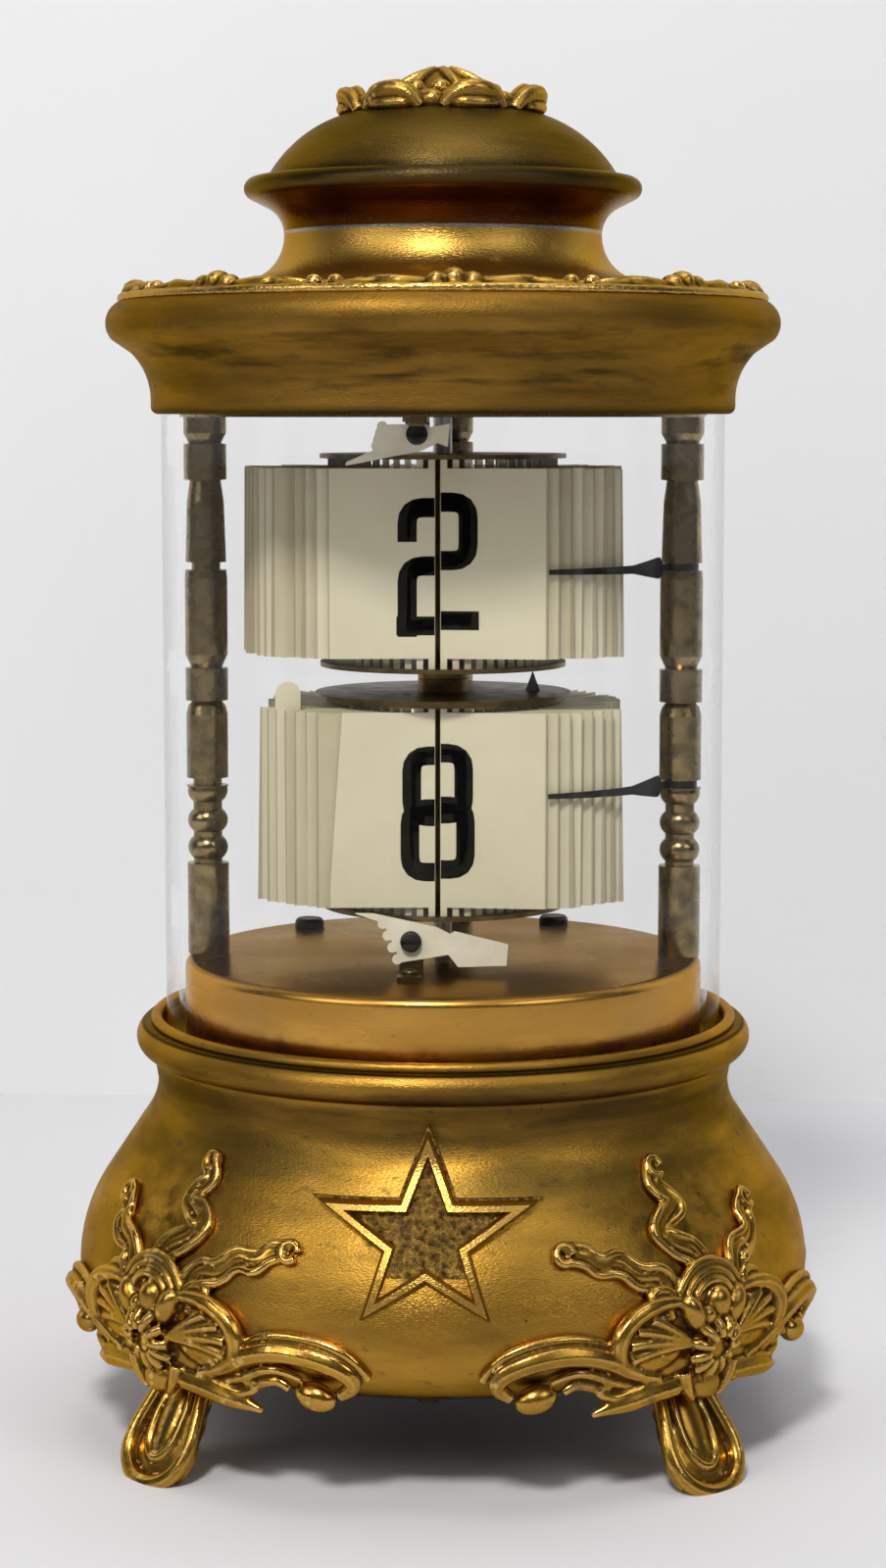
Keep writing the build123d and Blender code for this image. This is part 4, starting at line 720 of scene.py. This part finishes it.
# Right and left of a drum: how many leaves are held in the front stack, and how far back the rest lie.
minute_fans = {1: (8, 76), -1: (8, 74)}
hour_fans = {1: (8, 76), -1: (5, 57)}
drums = {"minute": {**minute_leaves, "fans": minute_fans}, "hour": {**hour_leaves, "fans": hour_fans}}
fan_start, fan_step = 86, 2
ear_height, ear_radius, ear_root = 3.0, 1.4, 0.4
left_tone, front_tone = 0.2, 0.25
chance = random.Random(7)


def leaf_place(drum, k):
    """Where a leaf hangs: its hinge's azimuth and the azimuth that it points to."""
    side = 1 if k < leaf_count / 2 else -1
    rank = k if side > 0 else leaf_count - 1 - k
    stack, fan_turn = drum["fans"][side]
    hinge = leaf_step * (rank + 0.5)
    point = fan_start + fan_step * rank
    if rank >= stack:
        point = hinge + fan_turn * (180 - hinge) / (180 - leaf_step * (stack + 0.5))
    return side * hinge, side * point


def leaf_matrix(drum, k):
    """The place of a leaf drawn in its own plane: along x from the hinge, y through it, z up."""
    hinge, point = leaf_place(drum, k)
    spot = about_axis(radians(hinge), hinge_circle, 0)
    return Matrix.Translation(spot) @ Matrix.Rotation(radians(point - 90), 4, "Z")


def leaf_card(drum, k):
    """One leaf in place, a bowed card with two tabs, and how far each corner is from its free edge."""
    mesh = bmesh.new()
    height = drum["high"] - drum["low"]
    length = leaf_reach + tab_half
    bmesh.ops.create_grid(mesh, x_segments=8, y_segments=4, size=0.5)
    lie = Matrix.Translation(Vector((length / 2 - tab_half, 0, drum["low"] + height / 2)) * MM)
    lie = lie @ Matrix.Rotation(pi / 2, 4, "X") @ Matrix.Diagonal((length * MM, height * MM, 1, 1))
    bmesh.ops.transform(mesh, matrix=lie, verts=mesh.verts)
    loose = 0 if k in (0, 1, leaf_count - 1, drum["ear"]) else 1
    bow = loose * chance.uniform(-0.10, 0.10)
    twist = loose * chance.uniform(-0.25, 0.25)
    sag = loose * chance.uniform(-0.16, 0.05)
    lean = loose * chance.uniform(-0.45, 0.25)
    slant = drum["askew"] if k == leaf_count - 1 else 0
    for vert in mesh.verts:
        along = (vert.co.x / MM + tab_half) / length
        up = (vert.co.z / MM - drum["low"]) / height - 0.5
        vert.co.y += (bow * sin(pi * along) + twist * up * along) * MM
        vert.co.z += sag * along * MM
        vert.co.x += (lean * (up - 0.5) - slant * (up + 0.5)) * along * MM
    bmesh.ops.solidify(mesh, geom=mesh.faces[:], thickness=leaf_thickness * MM)
    bmesh.ops.translate(mesh, verts=mesh.verts, vec=(0, -leaf_thickness / 2 * MM, 0))
    under = (drum["tab_low"], drum["low"] + tab_root)
    over = (drum["high"] - tab_root, drum["tab_high"])
    for low, high in (under, over):
        tab = Matrix.Translation(Vector((0, 0, (low + high) / 2)) * MM)
        tab = tab @ Matrix.Diagonal((tab_width * MM, tab_depth * MM, (high - low) * MM, 1))
        bmesh.ops.create_cube(mesh, size=1, matrix=tab)
    inset = [leaf_reach - vert.co.x / MM for vert in mesh.verts]
    if drum["ear"] == k:
        centre = Vector((leaf_reach - ear_radius, 0, drum["high"] + ear_height - ear_radius)) * MM
        lie = Matrix.Translation(centre) @ Matrix.Rotation(pi / 2, 4, "X")
        disc = {"radius1": ear_radius * MM, "radius2": ear_radius * MM, "depth": leaf_thickness * MM}
        bmesh.ops.create_cone(mesh, cap_ends=True, segments=24, matrix=lie, **disc)
        stem_height = ear_height - ear_radius + ear_root
        stem = Matrix.Translation(centre - Vector((0, 0, stem_height / 2 * MM)))
        stem = stem @ Matrix.Diagonal((2 * ear_radius * MM, stem_depth * MM, stem_height * MM, 1))
        bmesh.ops.create_cube(mesh, size=1, matrix=stem)
        inset += [1] * (len(mesh.verts) - len(inset))
    bmesh.ops.transform(mesh, matrix=leaf_matrix(drum, k), verts=mesh.verts)
    return mesh, inset


def ivory_material():
    """Ivory celluloid, yellowed in clouds, each leaf a little lighter or darker than the next, with a painted
    shadow line along its free edge.
    """
    made, shader, where = new_material("ivory")
    tone = where.node("Attribute", {}, output="Fac", attribute_name="leaf_tone")
    cloud = where.cloud(120, 4).spread(0.3, 0.7)
    specks = where.cloud(1500, 2).spread(0.74, 0.80)
    inset = where.node("Attribute", {}, output="Fac", attribute_name="leaf_inset")
    colour = (tone * 0.75 + cloud * 0.25).blend((0.67, 0.622, 0.448, 1), (0.43, 0.372, 0.23, 1))
    # painted shade: a thin dark line along each leaf's free edge for the shadow in the gap between cards
    colour = (inset.spread(0.24, 0.12) * 0.5).blend(colour, (0.16, 0.12, 0.06, 1))
    colour = (specks * 0.25).blend(colour, (0.30, 0.22, 0.12, 1))
    feed(shader, Base_Color=colour, Roughness=0.38 + cloud * 0.12)
    return made


ivory = ivory_material()
for kind, drum in drums.items():
    stack, tones, insets = bmesh.new(), [], []
    for k in range(1, leaf_count):
        card, inset = leaf_card(drum, k)
        data = bpy.data.meshes.new("card")
        card.to_mesh(data)
        card.free()
        tones += [left_tone if k == leaf_count - 1 else chance.random()] * len(inset)
        insets += inset
        stack.from_mesh(data)
        bpy.data.meshes.remove(data)
    leaves = made_object(kind + "_leaf_stack", stack, ivory)
    card, inset = leaf_card(drum, 0)
    front = made_object(kind + "_front_card", card, ivory)
    rows = (
        (leaves, "_leaves", tones, insets),
        (front, "_front_leaf", [front_tone] * len(inset), inset),
    )
    for piece, node, tone, reach in rows:
        piece.data.attributes.new("leaf_tone", "FLOAT", "POINT").data.foreach_set("value", tone)
        piece.data.attributes.new("leaf_inset", "FLOAT", "POINT").data.foreach_set("value", reach)
        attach(piece, kind + node)
        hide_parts(kind + node)

# Digits
# Plain block figures printed in black, half on each of the two leaves that meet at the front.

digit_width, digit_height, stroke, corner, print_height = 8.9, 15.0, 2.35, 1.7, 0.02
print_sink, print_edge = 0.002, 0.33
# The figure shown, the next one, the height of their middles and how far the two halves are out of line.
digits = {"hour": ("2", "3", 95.65, 0.29), "minute": ("8", "9", 68.85, 0.15)}


def rounded(points, radius):
    """A run of points with its inner corners replaced by short arcs."""
    made = [Vector(points[0])]
    for before, middle, after in zip(points, points[1:], points[2:]):
        before, middle, after = Vector(before), Vector(middle), Vector(after)
        back, on = (before - middle).normalized(), (after - middle).normalized()
        for share in (0, 0.25, 0.5, 0.75, 1):
            start, end = middle + back * radius, middle + on * radius
            made.append((1 - share) ** 2 * start + 2 * share * (1 - share) * middle + share**2 * end)
    return made + [Vector(points[-1])]


def digit_lines(figure):
    """The middle lines of a figure's strokes, about its centre."""
    w, h = (digit_width - stroke) / 2, (digit_height - stroke) / 2
    waist, hook = 0.1, h * 0.42
    if figure == "2":
        top = [(-w, hook), (-w, h), (w, h), (w, waist), (-w, waist), (-w, -h - stroke / 2)]
        return [top, [(-w - stroke / 2, -h), (0, -h), (w + stroke / 2, -h)]]
    if figure == "3":
        top = [(-w, hook), (-w, h), (w, h), (w, waist), (-w * 0.3, waist)]
        return [top, [(-w * 0.3, waist), (w, waist), (w, -h), (-w, -h), (-w, -hook)]]
    if figure == "9":
        bowl = [(0, waist), (w, waist), (w, h), (-w, h), (-w, waist), (0, waist)]
        return [bowl, [(w, h * 0.5), (w, -h), (-w, -h), (-w, -hook)]]
    bowls = []
    for low, high, half in ((-0.3, h, w * 0.86), (-h, 0.6, w * 0.92)):
        bowls.append([(0, low), (half, low), (half, high), (-half, high), (-half, low), (0, low)])
    return bowls


def digit_half(figure, side):
    """The flat strokes of a figure to one side of the split, about its centre."""
    mesh = bmesh.new()
    for points in digit_lines(figure):
        line = rounded(points, corner)
        curve, spline = thick_curve("POLY", len(line), stroke / 2, 1)
        for point, (x, z) in zip(spline.points, line):
            point.co = (x * MM, 0, z * MM, 1)
        data = curve_mesh(curve)
        tube = bmesh.new()
        tube.from_mesh(data)
        bmesh.ops.remove_doubles(tube, verts=tube.verts, dist=weld)
        tube.to_mesh(data)
        tube.free()
        mesh.from_mesh(data)
        bpy.data.meshes.remove(data)
    sliced(mesh, (side * print_edge * MM, 0, 0), (-side, 0, 0), clear_outer=True)
    bmesh.ops.scale(mesh, vec=(1, print_height / stroke, 1), verts=mesh.verts)
    return mesh


ink, shader, where = new_material("ink")
thin = where.cloud(900, 4).spread(0.55, 0.85)
feed(
    shader,
    Base_Color=thin.blend((0.0015, 0.0015, 0.0015, 1), (0.012, 0.011, 0.009, 1)),
    Roughness=0.75 + thin * 0.2,
    Specular_IOR_Level=0.02,
)
for kind, (figure, follower, middle, half_drop) in digits.items():
    places = (
        ("right", figure, 1, 0, "_front_leaf"),
        ("left", figure, -1, leaf_count - 1, "_leaves"),
        ("next_left", follower, -1, 0, "_front_leaf"),
        ("next_right", follower, 1, 1, "_leaves"),
    )
    for label, drawn, side, k, node in places:
        half = digit_half(drawn, side)
        split = leaf_matrix(drums[kind], 0).translation.x / MM
        shift = Vector((-split, -side * (leaf_thickness / 2 - print_sink), middle + half_drop * side)) * MM
        if side < 0:
            half_turn = Matrix.Rotation(pi, 3, "Z")
            bmesh.ops.rotate(half, verts=half.verts, cent=(0, 0, 0), matrix=half_turn)
        bmesh.ops.translate(half, verts=half.verts, vec=shift)
        bmesh.ops.transform(half, matrix=leaf_matrix(drums[kind], k), verts=half.verts)
        printed = made_object(kind + "_digit_" + label, half, ink)
        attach(printed, kind + node)

# Levers and brackets
# Small ivory levers on brass brackets that keep the leaves from falling before their time.

plain_ivory, shader, where = new_material("lever_ivory")
cloud = where.cloud(300, 4).spread(0.3, 0.7)
lever_colour = cloud.blend((0.80, 0.75, 0.59, 1), (0.66, 0.60, 0.45, 1))
feed(shader, Base_Color=lever_colour, Roughness=0.4 + cloud * 0.1)
coat(plain_ivory, "hour_lever", "minute_lever")
coat(disc_brass, "hour_lever_bracket", "minute_lever_bracket", "bracket_screws")

# Canopy
# A spun brass lid over the glass with a hollow side, a rolled rim and a sloping top that flares up into
# a throat, gilded and streaked.

canopy_radius, canopy_bottom, cove_start, cove_curve = 32.1, 111.6, 113.2, 7.1
rim_centre, rim_height, rim_curve = 34.3, 121.4, 2.65
seam_radius, seam_height, flare_curve = 17.4, 131.0, 5.0
canopy_wall, foot_round, ledge_rise, under_rise = 1.2, 0.8, 0.2, 1.4


def canopy_tints(where):
    """Dark streaks along the hollow side, a throat painted bright gold for its highlight and polished smoother,
    and painted shade on the bottom edge.
    """
    mottle = where.cloud(75, 5, (1, 1, 7)).spread(0.52, 0.66)
    return (
        (where.band(113.0, 115.0, 119.0, 122.0) * mottle * 0.85, (0.030, 0.021, 0.008, 1), 0.05),
        # painted highlight: the throat's flare is brighter gold than the rest, and smoother
        (where.band(125.8, 127.0, 131.5, 132), (0.46, 0.27, 0.055, 1), -0.15),
        # painted shade on the downward-facing round of the bottom edge
        (where.band(111, 111.5, 111.9, 112.5) * 0.85, (0.030, 0.018, 0.008, 1), 0.1),
    )


canopy_bright, canopy_dull = (0.26, 0.138, 0.023, 1), (0.125, 0.068, 0.012, 1)
canopy_gilt = gilt("canopy_gilt", canopy_bright, canopy_dull, olive, 0.42, 0.10, 10, tints=canopy_tints)
canopy = turned(
    "canopy_lid",
    canopy_gilt,
    [(bore_radius, canopy_bottom)]
    + arc(canopy_radius - foot_round, canopy_bottom + foot_round, foot_round, -90, 0, 6)
    + arc(canopy_radius + cove_curve, cove_start, cove_curve, 180, 135, 10)
    + arc(rim_centre, rim_height, rim_curve, -42, 90, 16)
    + arc(seam_radius + flare_curve, seam_height, flare_curve, -90, -180, 12)
    + [(seam_radius - canopy_wall, seam_height), (seam_radius - canopy_wall, rim_height + under_rise)]
    + [(glass_bore, rim_height + ledge_rise), (glass_bore, glass_top), (bore_radius, glass_top)],
    steps=192,
)
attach(canopy, "case")
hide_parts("canopy")

# Canopy wreath
# A cast ring of leaves, beads and bows laid on the sloping top, soldered at a few points.

leaf_bright, leaf_dull = (0.36, 0.20, 0.034, 1), (0.16, 0.09, 0.016, 1)
leaf_gilt = gilt("leaf_gilt", leaf_bright, leaf_dull, olive, 0.26, 0.12, 1, 1.0)
wreath_count, wreath_radius, wreath_start, wreath_grain, cord_steps = 8, 33.6, 0.1, 0.25, 48
slope_low, slope_high = (34.3, 124.05), (22.4, 126.0)
wreath_leaf = ((4, 0.2), (9, 1.0), (14, -0.3), (19, -1.0))
wreath_vein = ((5, -1.2), (10, -0.6), (15, 0.9), (20, 1.2))


def on_slope(turn, radius, lift):
    """A point of the canopy's sloping top: round it in degrees, out from the axis, and lifted."""
    fall = (slope_high[1] - slope_low[1]) / (slope_low[0] - slope_high[0])
    return about_axis(radians(turn), radius, slope_low[1] + (slope_low[0] - radius) * fall + lift)


def wreath():
    """The whole ring: two cords, long leaves between them, and a bow of beads where the leaves meet."""
    mesh = bmesh.new()
    for radius, thick in ((wreath_radius + 1.6, 0.55), (wreath_radius - 1.9, 0.5)):
        cord = [(360 / cord_steps * k, radius, 0.2) for k in range(cord_steps + 1)]
        add_bar(mesh, cord, (thick, thick), on_slope)
    for k in range(wreath_count):
        middle = 360 / wreath_count * (k + wreath_start)
        for side in (-1, 1):
            leaf = [(middle + side * turn, wreath_radius + off, 0.55) for turn, off in wreath_leaf]
            add_bar(mesh, leaf, (0.5, 1.0, 0.9, 0.25), on_slope)
            vein = [(middle + side * turn, wreath_radius + off, 0.7) for turn, off in wreath_vein]
            add_bar(mesh, vein, (0.35, 0.6, 0.5, 0.25), on_slope)
            add_blob(mesh, middle + side * 3.1, wreath_radius + 0.2, 0.8, (1.0, 1.3, 0.9), on_slope)
            add_blob(mesh, middle + side * 20.5, wreath_radius, 0.7, (0.9, 0.9, 0.8), on_slope)
        add_blob(mesh, middle, wreath_radius, 1.0, (1.2, 1.5, 1.1), on_slope)
    return cast("wreath", mesh, wreath_grain)


def smooth_object(name, data):
    """The object of a finished casting, smooth all over and in leaf gilt."""
    data.shade_smooth()
    data.materials.append(leaf_gilt)
    return linked(name, data)


ring = smooth_object("canopy_wreath", wreath())
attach(ring, "case")

# Dome
# A spun cap on the canopy's throat: a hollow neck, a bead round the edge and a low dome, gone olive.

hollow_centre, hollow_curve = 20.8, 3.4
bead_centre, bead_height, bead_curve = 20.56, 136.0, 1.2
crown_centre, crown_height, crown_curve = 6.6, 130.1, 14.5
cap_hole, cap_top, cap_under, cap_shoulder = 0.5, 144.6, 143.4, 135.0


def dome_tints(where):
    """A polished hollow painted brown for its dark reflection, a silvery seam under it, a dark bead and a dull
    crown.
    """
    return (
        # painted reflection: the hollow under the bead darkened to brown for the dark reflection it shows
        (where.band(131.0, 131.4, 134.8, 135.6), (0.105, 0.038, 0.006, 1), -0.20),
        (where.band(130.8, 130.9, 131.3, 131.45) * 0.8, (0.42, 0.40, 0.37, 1), -0.1),
        (where.band(135.9, 136.4, 137.5, 138.2) * 0.85, (0.030, 0.022, 0.011, 1), -0.08),
        (where.band(140.5, 143.5, 150, 151) * 0.6, (0.050, 0.042, 0.016, 1), 0.05),
    )


dome_bright, dome_dull = (0.125, 0.077, 0.019, 1), (0.060, 0.038, 0.011, 1)
dome_gilt = gilt("dome_gilt", dome_bright, dome_dull, olive, 0.36, 0.08, 8, tints=dome_tints)
dome = turned(
    "dome_cap",
    dome_gilt,
    [(seam_radius - canopy_wall, seam_height)]
    + arc(hollow_centre, seam_height, hollow_curve, 180, 120, 10)
    + arc(bead_centre, bead_height, bead_curve, -70, 120, 16)
    + arc(crown_centre, crown_height, crown_curve, 27, 90, 22)
    + [(cap_hole, cap_top), (cap_hole, cap_under), (seam_radius - canopy_wall, cap_shoulder)],
)
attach(dome, "case")
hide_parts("dome")

# Finial
# A cast rosette on the dome: leaves that curl up at their tips round a hammered bud.

finial_leaves, finial_start, bead_count = 7, 0.42, 12
bud_base, bud_ribs, rib_step = 144.6, 7, 51
lip_shape = ((-1.1, 0), (-0.8, 1.6), (0, 2.1), (0.8, 1.6), (1.1, 0))
back_shape = ((-0.9, 0.4), (-0.4, 1.6), (0.4, 1.6), (0.9, 0.4))


def on_top(turn, radius, z):
    """A point round the axis: an angle in degrees, a radius and a height."""
    return about_axis(radians(turn), radius, z)


def rosette():
    """Broad leaves with curled tips, a ring of beads over their roots and the bud."""
    mesh = bmesh.new()
    for k in range(finial_leaves):
        turn = 360 / finial_leaves * (k + finial_start)
        wide = 17 + 4 * (k % 2)
        for side in (-1, -0.35, 0.35, 1):
            out = turn + side * wide
            line = [(turn + side * wide * 0.6, 4.5, 145.9), (out, 7.5, 145.1), (out, 10.0, 143.9)]
            add_bar(mesh, line, (0.9, 1.1, 1.0), on_top)
        lip = [(turn + side * wide, 11.0 - 0.6 * abs(side), 144.0 + up) for side, up in lip_shape]
        add_bar(mesh, lip, (0.7, 0.95, 1.0, 0.95, 0.7), on_top)
        back = [(turn + side * wide, 9.6, 144.6 + up) for side, up in back_shape]
        add_bar(mesh, back, (0.8, 1.0, 0.8), on_top)
        add_blob(mesh, turn, 10.1, 144.5, (2.9, 1.6, 1.0), on_top)
        add_blob(mesh, turn + 25, 9.2, 144.9, (1.3, 1.2, 1.1), on_top)
    for k in range(bead_count):
        add_blob(mesh, 360 / bead_count * k, 5.5, 146.5, (1.15, 1.0, 0.9), on_top)
    for radius, top in ((5.9, 147.7), (4.8, 148.8), (2.9, 149.3)):
        bud = Matrix.Translation((0, 0, bud_base * MM))
        bud = bud @ Matrix.Diagonal((radius * MM, radius * MM, (top - bud_base) * MM, 1))
        bmesh.ops.create_icosphere(mesh, subdivisions=3, radius=1, matrix=bud)
    for k in range(bud_ribs):
        turn = rib_step * k
        rib = [(turn, 1.0, 148.9), (turn + 12, 3.2, 148.3), (turn + 20, 5.1, 146.8)]
        add_bar(mesh, rib, (0.4, 0.6, 0.5), on_top)
    return cast("rosette", mesh, casting_grain)


finial = smooth_object("finial_rosette", rosette())
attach(finial, "case")
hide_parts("finial")

# Stage
# A white table and a pale wall behind it, a key light high above the camera, weaker ones to the left and
# the right of it, and one overhead.

camera_distance, camera_height, camera_lens = 0.360, 0.11177, 74.475
camera_azimuth, camera_tilt = radians(2.6), radians(6.532)
wall_distance, stage_half, clock_middle = 0.163, 1.5, Vector((0, 0, 0.07))


def stage_plane(name, centre, turn, colour):
    """A large flat sheet of the stage with a faintly uneven colour, clear from behind."""
    mesh = bmesh.new()
    bmesh.ops.create_grid(mesh, x_segments=1, y_segments=1, size=stage_half)
    lie = Matrix.Translation(centre) @ Matrix.Rotation(turn, 4, "X")
    bmesh.ops.transform(mesh, matrix=lie, verts=mesh.verts)
    paint, shader, where = new_material(name)
    cloud = where.cloud(6, 3).spread(0.3, 0.7)
    darker = (*(0.94 * part for part in colour), 1)
    feed(shader, Base_Color=cloud.blend((*colour, 1), darker), Roughness=0.7 + cloud * 0.1)
    behind = where.node("NewGeometry", {}, output="Backfacing")
    clear = where.node("BsdfTransparent", {})
    front = Shade(paint.node_tree, shader.outputs[0])
    seen = where.node("MixShader", {0: behind, 1: front, 2: clear})
    feed(paint.node_tree.nodes["Material Output"], Surface=seen)
    made = made_object(name, mesh, paint)


def area_light(name, place, size, power, colour):
    """A square light that looks at the middle of the clock."""
    light = bpy.data.lights.new(name, "AREA")
    light.size = size
    light.energy = power
    light.color = colour
    made = linked(name, light)
    made.location = place
    made.rotation_euler = (clock_middle - Vector(place)).to_track_quat("-Z", "Y").to_euler()


stage_plane("table", (0, 0, 0), 0, (0.69, 0.69, 0.71))
stage_plane("wall", (0, wall_distance, 0), pi / 2, (0.80, 0.805, 0.82))
area_light("key", (-0.10, -0.62, 0.73), 0.14, 5.8, (1.0, 0.98, 0.95))
area_light("side", (-0.55, -0.50, 0.50), 0.40, 1.5, (1.0, 0.99, 0.97))
area_light("fill", (0.60, -0.52, 0.60), 0.4, 1.5, (0.95, 0.97, 1.0))
area_light("overhead", (0.1, 0.02, 1.1), 0.6, 3.4, (1.0, 0.99, 0.97))
world = bpy.data.worlds.new("room")
bpy.context.scene.world = world
world.use_nodes = True
feed(world.node_tree.nodes["Background"], Color=(0.9, 0.93, 1.0, 1), Strength=0.07)
camera = bpy.data.cameras.new("camera")
camera.sensor_width = 36
camera.lens = camera_lens
viewer = linked("camera", camera)
viewer.location = (
    camera_distance * sin(camera_azimuth),
    -camera_distance * cos(camera_azimuth),
    camera_height,
)
viewer.rotation_euler = (pi / 2 - camera_tilt, 0, camera_azimuth)
bpy.context.scene.camera = viewer
bpy.context.scene.view_settings.view_transform = "Standard"
